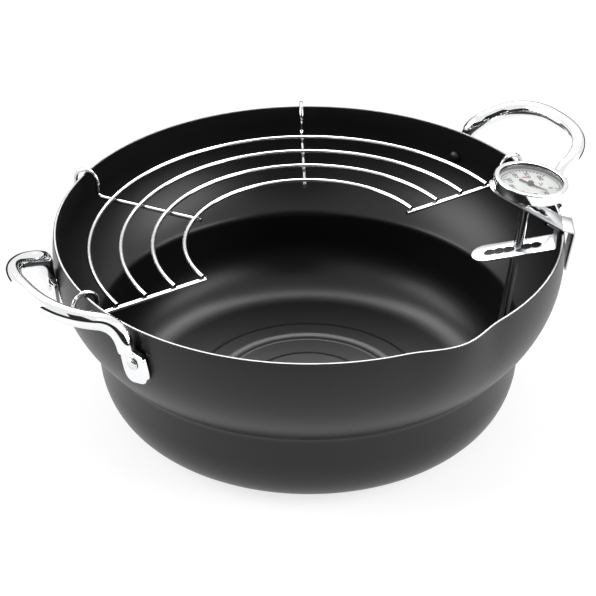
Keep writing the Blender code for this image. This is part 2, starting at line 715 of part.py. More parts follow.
def build_glazing(frame):
    """The gasket on the case's edge, the glass on the gasket and the bezel crimped over both."""
    gasket_foot = CASE_HEIGHT + CLEARANCE
    ring("thermometer_gasket", CASE_RADIUS - GASKET_WIDTH, CASE_RADIUS, gasket_foot,
         GASKET_THICKNESS, gasket_rubber, frame)
    lens_foot = gasket_foot + GASKET_THICKNESS + CLEARANCE
    lens_top = lens_foot + LENS_THICKNESS
    lens = [(0, lens_foot), (CASE_RADIUS, lens_foot), (CASE_RADIUS, lens_top), (0, lens_top)]
    turned("thermometer_lens", lens, lens_glass, CASE_STEPS, parent=frame)
    skirt = CASE_RADIUS + CLEARANCE
    outer = skirt + BEZEL_WALL
    lip_foot = lens_top + CLEARANCE
    top = lip_foot + BEZEL_LIP_THICKNESS
    opening = outer - BEZEL_LIP_WIDTH
    bezel = [(skirt, CASE_HEIGHT - BEZEL_OVERLAP), (outer, CASE_HEIGHT - BEZEL_OVERLAP),
             (outer, top - BEZEL_WALL), (outer - BEZEL_WALL / 3, top - BEZEL_WALL / 4),
             (outer - BEZEL_WALL, top), (opening + BEZEL_LIP_THICKNESS / 2, top),
             (opening, top - BEZEL_LIP_THICKNESS / 2), (opening, lip_foot), (skirt, lip_foot)]
    turned("thermometer_bezel", bezel, polished_steel, CASE_STEPS, closed=True, parent=frame)


def build_coil(frame):
    """The bimetal coil round the shaft, anchored at the stem's lower end."""
    foot = -STEM_LENGTH + STEM_RADIUS + COIL_WIRE_RADIUS + CLEARANCE
    turn_points = 8
    points = []
    for point in range(COIL_TURNS * turn_points + 1):
        angle = 2 * pi * point / turn_points
        points.append((COIL_RADIUS * cos(angle), COIL_RADIUS * sin(angle),
                       foot + COIL_PITCH * point / turn_points))
    coil = wire("bimetal_coil", points, COIL_WIRE_RADIUS, spring_bronze, frame)
    coil.data.bevel_resolution = 0


def needle_outline():
    """The needle seen from above: a thin tip, a broader tail and a round eye between them."""
    tip = NEEDLE_TIP_HALF_WIDTH
    tail = NEEDLE_TAIL_HALF_WIDTH
    upper = [(NEEDLE_LENGTH, tip)]
    for angle in (30, 60, 90, 120, 150):
        upper.append((NEEDLE_EYE_RADIUS * cos(radians(angle)), NEEDLE_EYE_RADIUS * sin(radians(angle))))
    upper.append((-NEEDLE_TAIL_LENGTH, tail))
    return upper + [(x, -y) for x, y in reversed(upper)]


def build_pointer(frame):
    """The needle, its cap and the shaft that turns them, all on the pointer's own frame."""
    dial_top = DIAL_LEDGE_HEIGHT + CLEARANCE + DIAL_THICKNESS
    needle_foot = dial_top + NEEDLE_GAP
    needle_top = needle_foot + NEEDLE_THICKNESS
    bm = bmesh.new()
    face = bm.faces.new([bm.verts.new((x, y, needle_foot)) for x, y in needle_outline()])
    raised = bmesh.ops.extrude_face_region(bm, geom=[face])
    top = [item for item in raised["geom"] if isinstance(item, bmesh.types.BMVert)]
    bmesh.ops.translate(bm, vec=(0, 0, NEEDLE_THICKNESS), verts=top)
    needle = finish("pointer_needle", bm, needle_black, frame)
    bore = SHAFT_RADIUS + CLEARANCE
    eye = [(0, needle_foot - CUT_OVERRUN), (bore, needle_foot - CUT_OVERRUN),
           (bore, needle_top + CUT_OVERRUN), (0, needle_top + CUT_OVERRUN)]
    cut(needle, hide_cutter(turned("needle_eye", eye, needle_black, parent=frame)))
    hub_foot = needle_top + CLEARANCE
    hub_top = hub_foot + HUB_HEIGHT
    hub = [(0, hub_top - HUB_WALL), (bore, hub_top - HUB_WALL), (bore, hub_foot), (HUB_RADIUS, hub_foot),
           (HUB_RADIUS, hub_top - HUB_WALL), (HUB_RADIUS - HUB_WALL, hub_top), (0, hub_top)]
    turned("pointer_hub", hub, needle_black, parent=frame)
    shaft_foot = -STEM_LENGTH + STEM_RADIUS + CLEARANCE
    shaft_top = hub_top - HUB_WALL - CLEARANCE
    shaft = [(0, shaft_foot), (SHAFT_RADIUS, shaft_foot), (SHAFT_RADIUS, shaft_top), (0, shaft_top)]
    turned("pointer_shaft", shaft, polished_steel, parent=frame)


def build_thermometer(frame, pointer_frame):
    """All the thermometer's pieces."""
    build_stem(frame)
    build_collar(frame)
    build_case(frame)
    build_glazing(frame)
    ring("dial_plate", SHAFT_RADIUS + CLEARANCE, CASE_RADIUS - CASE_WALL - CLEARANCE,
         DIAL_LEDGE_HEIGHT + CLEARANCE, DIAL_THICKNESS, dial_white, frame)
    build_coil(frame)
    build_pointer(pointer_frame)


def empty(name, matrix, parent=None):
    """A frame that carries other pieces."""
    return place(bpy.data.objects.new(name, None), parent, matrix)


def main():
    for obj in list(bpy.data.objects):
        bpy.data.objects.remove(obj, do_unlink=True)
    holes = build_rivet_holes()
    build_pot(holes)
    for side, azimuth in HANDLE_AZIMUTHS.items():
        build_handle(side, azimuth, holes)
    build_rivets()
    rack_frame = empty("rack_frame", Matrix.Translation((0, 0, POT_HEIGHT)))
    build_rack_arcs(rack_frame)
    build_rack_legs(rack_frame)
    clip_matrix = Matrix.Rotation(CLIP_AZIMUTH, 4, 'Z') @ Matrix.Translation((RIM_RADIUS, 0, POT_HEIGHT))
    clip_frame = empty("clip_frame", clip_matrix @ Matrix.Rotation(-CLIP_ROLL, 4, 'X'))
    build_clip(clip_frame)
    thermometer_frame = empty("thermometer_frame", thermometer_matrix(), clip_frame)
    pointer_frame = empty("pointer_frame", Matrix.Rotation(POINTER_REST_ANGLE, 4, 'Z'), thermometer_frame)
    build_thermometer(thermometer_frame, pointer_frame)
    bpy.context.view_layer.update()
    axis = thermometer_frame.matrix_world.to_3x3() @ Vector((0, 0, 1))
    print("thermometer base", tuple(thermometer_frame.matrix_world.translation), "axis", tuple(axis))
    print("stem lean in degrees", degrees(acos(axis.z)))


main()
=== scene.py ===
# %% [markdown]
# # A tempura pot, dressed piece by piece
#
# The object is a deep-frying pot for tempura: a pressed steel bowl with a baked non-stick coating,
# two chromed rod handles riveted to it, a half-round wire rack where fried food drips off, and a
# dial thermometer that a spring clip holds on the rim. Its plain solids are loaded first as a fixed
# frame. Every later piece is modelled in metres on top of that frame, in the place of its solid.

from math import acos, asin, atan2, cos, pi, radians, sin, sqrt, tan

import bpy
from mathutils import Matrix, Vector


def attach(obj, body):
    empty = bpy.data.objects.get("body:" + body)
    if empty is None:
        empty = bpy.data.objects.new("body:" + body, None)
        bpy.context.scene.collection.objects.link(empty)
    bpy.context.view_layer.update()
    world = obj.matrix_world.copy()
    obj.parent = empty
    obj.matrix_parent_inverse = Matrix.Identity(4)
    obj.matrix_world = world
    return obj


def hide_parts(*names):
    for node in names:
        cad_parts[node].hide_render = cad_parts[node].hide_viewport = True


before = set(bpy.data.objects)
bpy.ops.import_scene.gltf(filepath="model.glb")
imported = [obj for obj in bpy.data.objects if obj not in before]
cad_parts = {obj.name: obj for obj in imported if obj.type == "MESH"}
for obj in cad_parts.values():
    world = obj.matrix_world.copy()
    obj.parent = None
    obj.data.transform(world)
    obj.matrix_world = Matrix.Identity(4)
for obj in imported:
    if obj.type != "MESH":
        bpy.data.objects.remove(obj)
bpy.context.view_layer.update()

# %% [markdown]
# The camera comes next, so that each piece can be judged from the photograph's own angle. It looks
# down at the rim by about 32 degrees from the front left, through a long lens from more than a
# metre away, which keeps the round rim from stretching.

# %% Camera
CAMERA_PLACE = (-0.5528, -0.8540, 0.6964)
CAMERA_LOOKS_DOWN = radians(32.14)
CAMERA_TURN = radians(-32.61)
CAMERA_LENS = 139.2
CAMERA_SENSOR = 36

camera_turns = (pi / 2 - CAMERA_LOOKS_DOWN, 0, CAMERA_TURN)
bpy.ops.object.camera_add(location=CAMERA_PLACE, rotation=camera_turns)
camera = bpy.context.object
camera.name = "photo_camera"
camera.data.lens = CAMERA_LENS
camera.data.sensor_width = CAMERA_SENSOR
bpy.context.scene.camera = camera
print("camera:", CAMERA_LENS, "mm lens,", round(Vector(CAMERA_PLACE).length, 2), "m from the base")

# %% [markdown]
# ## Finishes
#
# Each finish starts from what the real surface is. Colours are written as sRGB hex values, the way
# a paint chart or an image editor gives them, and one function turns them into the linear numbers
# that a shader needs. A second function adds one node with its settings and links. A third gives a
# finish its grain, whose size and relief are in millimetres.

# %% Colour and node helpers
MM_PER_METRE = 1000
NOISE_DETAIL = 3.0


def linear(hex_code):
    """Turn a colour such as #1A2B3C into linear red, green, blue and alpha."""
    channels = [int(hex_code[place:place + 2], 16) / 255 for place in (1, 3, 5)]
    return [c / 12.92 if c <= 0.04045 else ((c + 0.055) / 1.055) ** 2.4 for c in channels] + [1.0]


def add_node(owner, kind, settings=None, links=None):
    """Add a node to a material or world, set its inputs or options, and link its inputs."""
    node = owner.node_tree.nodes.new(kind)
    for name, value in (settings or {}).items():
        if name in node.inputs:
            node.inputs[name].default_value = value
        else:
            setattr(node, name, value)
    for name, source in (links or {}).items():
        owner.node_tree.links.new(source, node.inputs[name])
    return node


def add_grain(finish, grain_mm, rough_low, rough_high, relief_mm):
    """Vary a finish's roughness and height with a noise whose grains have a real size."""
    place = add_node(finish, "ShaderNodeTexCoord").outputs["Object"]
    pattern = {"Scale": MM_PER_METRE / grain_mm, "Detail": NOISE_DETAIL}
    noise = add_node(finish, "ShaderNodeTexNoise", pattern, {"Vector": place}).outputs["Fac"]
    limits = {"To Min": rough_low, "To Max": rough_high}
    rough = add_node(finish, "ShaderNodeMapRange", limits, {"Value": noise}).outputs[0]
    relief = {"Strength": 1.0, "Distance": relief_mm / MM_PER_METRE}
    bump = add_node(finish, "ShaderNodeBump", relief, {"Height": noise}).outputs[0]
    shader = finish.node_tree.nodes["Principled BSDF"]
    finish.node_tree.links.new(rough, shader.inputs["Roughness"])
    finish.node_tree.links.new(bump, shader.inputs["Normal"])


def new_finish(name, colour, roughness, metallic=0.0, grain=None, **extra):
    """A material with a Principled shader, and with a grain of (size, low, high, relief)."""
    finish = bpy.data.materials.new(name)
    finish.use_nodes = True
    shader = finish.node_tree.nodes["Principled BSDF"]
    shader.inputs["Base Color"].default_value = linear(colour)
    shader.inputs["Roughness"].default_value = roughness
    shader.inputs["Metallic"].default_value = metallic
    for socket, value in extra.items():
        shader.inputs[socket.replace("_", " ")].default_value = value
    if grain:
        add_grain(finish, *grain)
    print("finish:", name, colour)
    return finish


# %% [markdown]
# The bowl is coated with a sprayed and baked PTFE layer. It is almost black in itself, and what the
# eye reads as dark grey is the soft reflection of the bright room in its satin skin. The spray
# leaves a fine orange peel, here about a millimetre from crest to crest. The pot's rim was cut
# after coating, so its edge is bare sheared steel.
#
# PTFE and its binder bend light a little less than a lacquer does, so the coating is blacker head on
# and brightens more toward the pot's edges.

# %% Finishes of the bowl
baked_coating = new_finish("baked_ptfe_coating", "#070708", 0.36, grain=(1.1, 0.32, 0.41, 0.006), IOR=1.45)
sheared_edge = new_finish("sheared_steel_edge", "#77787A", 0.32, 1.0, grain=(0.5, 0.25, 0.42, 0.01))

# %% [markdown]
# The handles are bent from steel rod and chrome plated over a polish, so they mirror the room with
# hardly any blur, and only a slow waviness of the polish shows. The rack's wire is plated as it was
# drawn, which leaves it a little greyer and softer. The clip and the thermometer's case are
# stainless strip and sheet, brighter than brushed steel. Two inner walls, of the clip's leg and of
# the case above the dial, get a dark grey metal instead. That metal is painted shade, standing in for
# the dark reflections these walls show. The real grain of such metals is too fine for a picture of
# this size, so it is drawn about a millimetre wide and very shallow.

# %% Finishes of the bright metal
chrome_rod = new_finish("chrome_plated_rod", "#EDEEEF", 0.06, 1.0, grain=(9.0, 0.04, 0.09, 0.002))
rivet_finish = new_finish("headed_stainless_rivet", "#DCDDDE", 0.18, 1.0, grain=(0.8, 0.14, 0.26, 0.004))
chrome_wire = new_finish("chrome_plated_wire", "#C6C7C9", 0.12, 1.0, grain=(0.9, 0.08, 0.18, 0.003))
spring_strip = new_finish("stainless_spring_strip", "#CFD0D2", 0.30, 1.0, grain=(1.5, 0.24, 0.36, 0.003))
drawn_case = new_finish("deep_drawn_stainless", "#CCCDCE", 0.12, 1.0, grain=(2.0, 0.08, 0.18, 0.003))
# painted shade: a dark grey metal for two inner walls, standing in for the shade and dark reflections seen
# there
painted_shade_wall = new_finish("painted_shade_steel", "#3A3B3C", 0.35, 1.0, grain=(1.0, 0.28, 0.42, 0.002))
polished_tube = new_finish("polished_stainless_tube", "#D0D1D2", 0.10, 1.0, grain=(1.2, 0.08, 0.16, 0.002))

# %% [markdown]
# The dial is a printed aluminium disc under soda-lime glass, sealed by a silicone ring. Its marks
# and its needle are matt enamel. The bimetal coil is deep inside the stem and never shows, yet it
# gets the warm colour of its alloy. Their grain too is drawn coarser than it is, about half a
# millimetre wide.

# %% Finishes of the dial
MATT_GLOSS = 0.2

dial_paint = new_finish("printed_aluminium_dial", "#DADCDA", 0.7, grain=(0.7, 0.62, 0.78, 0.002),
                        Specular_IOR_Level=MATT_GLOSS)
black_enamel = new_finish("matt_black_enamel", "#141415", 0.6, grain=(0.4, 0.52, 0.68, 0.001),
                          Specular_IOR_Level=MATT_GLOSS)
red_enamel = new_finish("matt_red_enamel", "#B23A3E", 0.6, grain=(0.4, 0.52, 0.68, 0.001),
                        Specular_IOR_Level=MATT_GLOSS)
silicone = new_finish("moulded_silicone", "#202021", 0.6, grain=(0.5, 0.55, 0.7, 0.002))
bimetal = new_finish("bimetal_strip", "#B08A5A", 0.3, 1.0, grain=(0.4, 0.25, 0.4, 0.001))
dial_glass = new_finish("soda_lime_glass", "#FFFFFF", 0.02, Transmission_Weight=1.0, IOR=1.5)

# %% [markdown]
# ## Making and fitting a piece
#
# Two ways of shaping turn up again and again. A turned piece is half a profile spun round an axis,
# so one helper draws a chain of edges by extruding a single vertex and another spins it. A bent
# piece is a ring or an edge that is extruded along its path, bend by bend.

# %% Selecting and shaping
WELD = 0.000002
SMOOTH_ANGLE = radians(35)
ROUNDING_SEGMENTS = 3


def deselect():
    """Leave edit mode and select nothing, because an operator acts on all that is selected."""
    if bpy.context.object and bpy.context.object.mode == 'EDIT':
        bpy.ops.object.mode_set(mode='OBJECT')
    bpy.ops.object.select_all(action='DESELECT')


def select_only(piece):
    """Select one piece and make it the active one."""
    deselect()
    piece.select_set(True)
    bpy.context.view_layer.objects.active = piece


def draw_chain(name, points):
    """Draw edges through points: a plane is merged to one vertex, which is extruded along."""
    deselect()
    bpy.ops.mesh.primitive_plane_add(enter_editmode=True)
    piece = bpy.context.object
    piece.name = name
    bpy.ops.mesh.merge(type='CENTER')
    bpy.ops.transform.translate(value=points[0])
    for before, after in zip(points, points[1:]):
        step = Vector(after) - Vector(before)
        bpy.ops.mesh.extrude_region_move(TRANSFORM_OT_translate={"value": step})
    return piece


def close_skin():
    """Weld, fill and turn outward the skin that is being edited, then leave edit mode."""
    bpy.ops.mesh.select_all(action='SELECT')
    bpy.ops.mesh.remove_doubles(threshold=WELD)
    bpy.ops.mesh.fill_holes(sides=0)
    bpy.ops.mesh.normals_make_consistent(inside=False)
    bpy.ops.object.mode_set(mode='OBJECT')
    bpy.ops.object.shade_smooth_by_angle(angle=SMOOTH_ANGLE)


def lathe(name, outline, steps=96, rounding=0.0):
    """Turn a profile of (radius, height) points round Z, with its corners rounded first."""
    piece = draw_chain(name, [(radius, 0, height) for radius, height in outline])
    if rounding:
        bpy.ops.mesh.select_all(action='SELECT')
        bpy.ops.mesh.bevel(offset=rounding, segments=ROUNDING_SEGMENTS, affect='VERTICES')
    bpy.ops.mesh.select_all(action='SELECT')
    bpy.ops.mesh.spin(steps=steps, angle=2 * pi, center=(0, 0, 0), axis=(0, 0, 1))
    close_skin()
    return piece


# %% [markdown]
# Three small helpers give numbers for a profile: a share that eases in and out, the sines and
# cosines of a rounded corner, and the outline of a flat ring.

# %% Numbers for a profile
def eased(share):
    """A share eased in and out between 0 and 1."""
    share = min(max(share, 0), 1)
    return share * share * (3 - 2 * share)


def quarter_arc(steps):
    """The sine and cosine of evenly spaced angles from 0 to 90 degrees."""
    angles = [pi / 2 * step / steps for step in range(steps + 1)]
    return [(sin(angle), cos(angle)) for angle in angles]


def ring_outline(inner, outer, foot, top):
    """The closed outline of a flat ring, for the lathe."""
    return [(inner, foot), (outer, foot), (outer, top), (inner, top), (inner, foot)]


# %% [markdown]
# A finished piece keeps its place in its mesh, with its object at the origin. It is then given its
# finish, the body it moves with and the solids it stands for.

# %% Settling and fitting
def apply_all(piece):
    """Apply every modifier of a piece."""
    select_only(piece)
    for modifier in list(piece.modifiers):
        bpy.ops.object.modifier_apply(modifier=modifier.name)


def settle(piece, matrix):
    """Move a piece to its place and keep that place in its mesh."""
    select_only(piece)
    piece.matrix_world = matrix
    bpy.ops.object.transform_apply(location=True, rotation=True, scale=True)


def copy_piece(piece, name, matrix):
    """Copy a piece with a mesh of its own and settle the copy elsewhere."""
    select_only(piece)
    bpy.ops.object.duplicate(linked=False)
    copy = bpy.context.object
    copy.name = name
    settle(copy, matrix)
    return copy


def two_finishes(piece, main, other, is_other):
    """Give a piece its main finish, and another one to the faces that ask for it."""
    piece.data.materials.append(main)
    piece.data.materials.append(other)
    for face in piece.data.polygons:
        face.material_index = 1 if is_other(face) else 0


def fit(piece, finish, body, slot, *nodes):
    """Give a finished piece its finish, the body it moves with and the solids it stands for."""
    if finish:
        piece.data.materials.clear()
        piece.data.materials.append(finish)
    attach(piece, body)
    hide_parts(*nodes)
    print(piece.name, len(piece.data.polygons), "faces, on", body)


# %% [markdown]
# ## The bowl
#
# The bowl is one sheet of steel, pressed and not turned, but its shape is a turned shape apart from
# the pouring lip. So its whole section is drawn once: up the outside from the middle of the base,
# over the rim, down the inside, and across the floor with its pressed rings. The upper wall is an
# arc that bulges a little past the rim and ends at a step; below it a straight wall runs into a
# wide rounded corner.

# %% The bowl's section
RIM_RADIUS = 0.130
POT_HEIGHT = 0.1025
SHEET = 0.0014
FLOOR_THICKNESS = 0.0018
BOWL_ARC_RADIUS = 0.062
BULGE_DEPTH = 0.0107
LOWER_RADIUS = 0.1097
STEP_BLEND = 0.0025
BASE_CORNER_WIDTH = 0.022
INNER_CORNER_WIDTH = 0.026
BASE_CORNER_HEIGHT = 0.030
RIM_ROUNDING = 0.0003
BOWL_ARC_STEPS = 24
STEP_BLEND_STEPS = 6
BASE_CORNER_STEPS = 16
WIDEST_RADIUS = RIM_RADIUS + BOWL_ARC_RADIUS - sqrt(BOWL_ARC_RADIUS ** 2 - BULGE_DEPTH ** 2)
BOWL_CENTRE_RADIUS = WIDEST_RADIUS - BOWL_ARC_RADIUS


def wall_section(offset, corner_width, floor):
    """The wall from the rim to the floor's edge, moved inward by an offset, as (radius, height)."""
    arc = BOWL_ARC_RADIUS - offset
    lower = LOWER_RADIUS - offset
    corner_angle = acos((lower - BOWL_CENTRE_RADIUS) / arc)
    bulge_height = POT_HEIGHT - BULGE_DEPTH
    first = -asin((BULGE_DEPTH - RIM_ROUNDING) / arc)
    last = corner_angle - STEP_BLEND / BOWL_ARC_RADIUS
    section = []
    for point in range(BOWL_ARC_STEPS + 1):
        angle = first + (last - first) * point / BOWL_ARC_STEPS
        section.append((BOWL_CENTRE_RADIUS + arc * cos(angle), bulge_height - arc * sin(angle)))
    start = Vector(section[-1])
    corner = Vector((lower, bulge_height - arc * sin(corner_angle)))
    end = corner - Vector((0, STEP_BLEND))
    for point in range(1, STEP_BLEND_STEPS + 1):
        share = point / STEP_BLEND_STEPS
        section.append(tuple(start.lerp(corner, share).lerp(corner.lerp(end, share), share)))
    corner_height = BASE_CORNER_HEIGHT - floor
    for down, out in quarter_arc(BASE_CORNER_STEPS):
        radius = lower - corner_width + corner_width * out
        section.append((radius, BASE_CORNER_HEIGHT - corner_height * down))
    return section


outside = wall_section(0, BASE_CORNER_WIDTH, 0)
inside = wall_section(SHEET, INNER_CORNER_WIDTH, FLOOR_THICKNESS)
print("wall:", len(outside), "points outside,", len(inside), "inside, widest at", round(WIDEST_RADIUS, 4))

# %% [markdown]
# The rings in the floor stiffen it and stop it from humming on the hob: a raised band, a fine line
# inside it and a raised disc in the middle. Each step is under half a millimetre high, and it only
# shows because the satin coating turns such small slopes into light and dark lines. A step is eased
# and has a point close beside it on both sides, which keeps the floor between the steps flat to the
# eye where the shading is smooth.

# %% The rings in the floor
RING_RELIEF = 0.0004
LINE_RELIEF = 0.0001
STEP_SUPPORT = 0.0003
EASING_STEPS = 8
# each step's outer radius, inner radius, level before it and level after it
FLOOR_STEPS = [
    (0.0622, 0.0600, 0, RING_RELIEF),
    (0.0520, 0.0484, RING_RELIEF, -LINE_RELIEF),
    (0.0474, 0.0466, -LINE_RELIEF, LINE_RELIEF),
    (0.0459, 0.0449, LINE_RELIEF, 0),
    (0.0331, 0.0309, 0, RING_RELIEF),
]


def floor_step(outer, inner, before, after):
    """An eased step from one level of the floor to the next, from its outer to its inner side."""
    points = [(outer + STEP_SUPPORT, before)]
    for point in range(EASING_STEPS + 1):
        share = point / EASING_STEPS
        points.append((outer + (inner - outer) * share, before + (after - before) * eased(share)))
    return points + [(inner - STEP_SUPPORT, after)]


floor_section = []
for step in FLOOR_STEPS:
    floor_section += [(radius, FLOOR_THICKNESS + height) for radius, height in floor_step(*step)]
print("floor:", len(FLOOR_STEPS), "steps,", len(floor_section), "points")

# %% [markdown]
# The section is spun round the pot's axis. The lip is then pressed outward: every point of the wall
# near it is moved away from the axis, most at the rim and fading to the sides and downward, as the
# press tool does it to both faces of the sheet at once.

# %% Spin the bowl and press its lip
LIP_REACH = 0.0049
LIP_DEPTH = 0.045
LIP_HALF_ANGLE = radians(12.5)
LIP_AZIMUTH = radians(-90)

rim_top = [(RIM_RADIUS - RIM_ROUNDING, POT_HEIGHT), (RIM_RADIUS - SHEET + RIM_ROUNDING, POT_HEIGHT)]
bowl_section = [(0, 0)] + outside[::-1] + rim_top + inside + floor_section + [(0, FLOOR_THICKNESS)]
bowl = lathe("coated_bowl", bowl_section, steps=240)

for vertex in bowl.data.vertices:
    depth = POT_HEIGHT - vertex.co.z
    aside = atan2(vertex.co.y, vertex.co.x) - LIP_AZIMUTH
    if depth < LIP_DEPTH and abs(aside) < LIP_HALF_ANGLE:
        across = cos(pi / 2 * aside / LIP_HALF_ANGLE) ** 2
        push = LIP_REACH * across * (1 - depth / LIP_DEPTH) ** 2
        vertex.co += Vector((vertex.co.x, vertex.co.y, 0)).normalized() * push


def on_rim_edge(face):
    """Whether a face is on the sheared edge at the top of the rim."""
    return face.center.z > POT_HEIGHT - RIM_ROUNDING / 2


two_finishes(bowl, baked_coating, sheared_edge, on_rim_edge)
fit(bowl, None, "pot", "coated_steel", "pot_body")

# %% [markdown]
# ## The handles
#
# A handle is one round rod, bent to a loop that leans outward, with both ends swept down and
# hammered flat against the wall. A frame on the wall comes first, because the flat ends and the
# rivets both stand square on it.

# %% Places on the wall
HANDLE_AZIMUTHS = {"right": 0.0, "left": pi}
RIVET_SPREAD = radians(18.4)
RIVET_DEPTH = 0.0165
SEAT_GAP = 0.0003


def wall_seat(azimuth, depth):
    """A frame on the wall's outer face: X points out of the wall and Z up along it."""
    slope = asin((depth - BULGE_DEPTH) / BOWL_ARC_RADIUS)
    radius = BOWL_CENTRE_RADIUS + BOWL_ARC_RADIUS * cos(slope)
    there = Matrix.Translation((radius, 0, POT_HEIGHT - depth))
    return Matrix.Rotation(azimuth, 4, 'Z') @ there @ Matrix.Rotation(slope, 4, 'Y')


# %% [markdown]
# The loop's middle line is squarer than an ellipse, and a cubic curve leads from its end down to the
# flat part. Only one half is drawn, with a few points past the middle, where it is cut.

# %% The handle's middle line
ROD_RADIUS = 0.0044
LOOP_ROOT = Vector((0.1297, 0, POT_HEIGHT + 0.0038))
LOOP_TILT = radians(17.8)
LOOP_LENGTH = 0.0327
LOOP_HALF_WIDTH = 0.0344
LOOP_SQUARENESS = 2.5
LOOP_END = radians(75)
LOOP_STEPS = 60
LOOP_SPARE_STEPS = 4
LEG_SWEEP_OUT = 0.0097
LEG_SWEEP_DOWN = 0.0070
LEG_STEPS = 24
SPOON_LENGTH = 0.0204
SPOON_HALF_WIDTH = 0.0080
SPOON_THICKNESS = 0.0030
SPOON_SPLAY = radians(9)
SPOON_DROP = 0.0010

spoon_seat = wall_seat(RIVET_SPREAD, RIVET_DEPTH)
spoon_turn = spoon_seat.to_3x3()
spoon_run = spoon_turn @ Vector((0, sin(SPOON_SPLAY), -cos(SPOON_SPLAY)))
spoon_out = spoon_turn @ Vector((1, 0, 0))
spoon_across = spoon_run.cross(spoon_out)


def spoon_middle(along):
    """The rod's middle where it lies on the wall, before it is pressed, along its run."""
    return spoon_seat.translation + spoon_run * along + spoon_out * (SEAT_GAP + ROD_RADIUS)


def loop_point(angle):
    """A point of the loop's middle line."""
    reach = LOOP_LENGTH * max(cos(angle), 0) ** (2 / LOOP_SQUARENESS)
    aside = LOOP_HALF_WIDTH * abs(sin(angle)) ** (2 / LOOP_SQUARENESS) * (1 if angle >= 0 else -1)
    return LOOP_ROOT + Vector((reach * cos(LOOP_TILT), aside, reach * sin(LOOP_TILT)))


def eased_curve(start, start_pull, end_pull, end, share):
    """A point on a cubic curve."""
    rest = 1 - share
    return (start * rest ** 3 + start_pull * 3 * rest ** 2 * share
            + end_pull * 3 * rest * share ** 2 + end * share ** 3)


loop_line = [loop_point(LOOP_END * step / LOOP_STEPS) for step in range(-LOOP_SPARE_STEPS, LOOP_STEPS + 1)]
loop_leave = (loop_line[-1] - loop_line[-2]).normalized()
leg_start_pull = loop_line[-1] + loop_leave * LEG_SWEEP_OUT
spoon_top_along = SPOON_DROP - SPOON_LENGTH / 2
spoon_top = spoon_middle(spoon_top_along)
leg_end_pull = spoon_top - spoon_run * LEG_SWEEP_DOWN
leg_line = [eased_curve(loop_line[-1], leg_start_pull, leg_end_pull, spoon_top, step / LEG_STEPS)
            for step in range(1, LEG_STEPS + 1)]
print("middle line:", len(loop_line), "points on the loop and", len(leg_line), "on the leg")

# %% [markdown]
# The chain is turned into a curve with the rod's thickness and made a mesh again. A plane through
# the middle of the loop cuts off the spare points.

# %% Bend the rod
ROD_SMOOTHNESS = 6

rod = draw_chain("chrome_handle_right", loop_line + leg_line)
bpy.ops.object.mode_set(mode='OBJECT')
bpy.ops.object.convert(target='CURVE')
rod.data.bevel_depth = ROD_RADIUS
rod.data.bevel_resolution = ROD_SMOOTHNESS
bpy.ops.object.convert(target='MESH')
bpy.ops.object.mode_set(mode='EDIT')
bpy.ops.mesh.select_all(action='SELECT')
bpy.ops.mesh.bisect(plane_co=(0, 0, 0), plane_no=(0, 1, 0), clear_inner=True)
print("rod bent,", len(rod.data.vertices), "points")

# %% [markdown]
# The rod's end is a ring of points at the top of the flat part. It is extruded along the wall and
# widened step by step to the outline of the flat end, which is round at its tip. Then it is pressed
# as a real press does it: what stands further from the middle than half the plate's thickness is
# pushed back to that plane, so that two flats appear and the sides stay round.

# %% Find the rod's end
RING_SLACK = 0.0003


def select_points(piece, wanted):
    """In edit mode, select the points whose place is wanted."""
    bpy.ops.mesh.select_all(action='DESELECT')
    bpy.ops.object.mode_set(mode='OBJECT')
    for vertex in piece.data.vertices:
        vertex.select = wanted(vertex.co)
    bpy.ops.object.mode_set(mode='EDIT')


def on_rod_end(place):
    """Whether a point is on the rod's last ring, which stands square on the flat end's run."""
    away = place - spoon_top
    return abs(away.dot(spoon_run)) < RING_SLACK and away.length < ROD_RADIUS + RING_SLACK


select_points(rod, on_rod_end)
print("rod end:", sum(vertex.select for vertex in rod.data.vertices), "points")

# %% Draw out and press the flat end
SPOON_SQUARENESS = 3.4
FLAT_FROM_SHARE = 0.25
FLARE_SHARE = 0.34
# shares of the flat end's length, closer together where its outline bends most
RING_SHARES = (0.04, 0.08, 0.12, 0.17, 0.23, 0.3, 0.4, 0.5, 0.6,
               0.7, 0.78, 0.85, 0.9, 0.94, 0.97, 0.985, 0.995)


def spoon_half_width(share):
    """Half of the flat end's width at a share of its length."""
    if share < 0.5:
        return ROD_RADIUS + (SPOON_HALF_WIDTH - ROD_RADIUS) * eased(share / FLARE_SHARE)
    narrowing = max(1 - abs(2 * share - 1) ** SPOON_SQUARENESS, 0)
    return SPOON_HALF_WIDTH * narrowing ** (1 / SPOON_SQUARENESS)


spoon_axes = Matrix((spoon_across, spoon_out, spoon_run)).transposed()
along, width = spoon_top_along, ROD_RADIUS
for share in RING_SHARES:
    next_along = SPOON_DROP + SPOON_LENGTH * (share - 0.5)
    next_width = spoon_half_width(share)
    bpy.ops.mesh.extrude_region_move(TRANSFORM_OT_translate={"value": spoon_run * (next_along - along)})
    bpy.ops.transform.resize(value=(next_width / width, 1, 1), orient_type='GLOBAL',
                             orient_matrix=spoon_axes, orient_matrix_type='GLOBAL',
                             center_override=spoon_middle(next_along))
    along, width = next_along, next_width
bpy.ops.object.mode_set(mode='OBJECT')

for vertex in rod.data.vertices:
    place = vertex.co - spoon_seat.translation
    share = (place.dot(spoon_run) - SPOON_DROP) / SPOON_LENGTH + 0.5
    if share > 0 and place.length < SPOON_LENGTH:
        half = ROD_RADIUS + (SPOON_THICKNESS / 2 - ROD_RADIUS) * eased(share / FLAT_FROM_SHARE)
        off = place.dot(spoon_out) - SEAT_GAP - ROD_RADIUS
        vertex.co += spoon_out * (min(max(off, -half), half) + half - off - ROD_RADIUS)
print("flat end pressed,", len(rod.data.vertices), "points in half a handle")

# %% [markdown]
# A mirror makes the other half. The left handle is the right one turned half round, and it is copied
# before either is fitted, so that each stands for its own solid alone.

# %% Mirror the handle and copy it to the other side
MIRROR_WELD = 0.00005

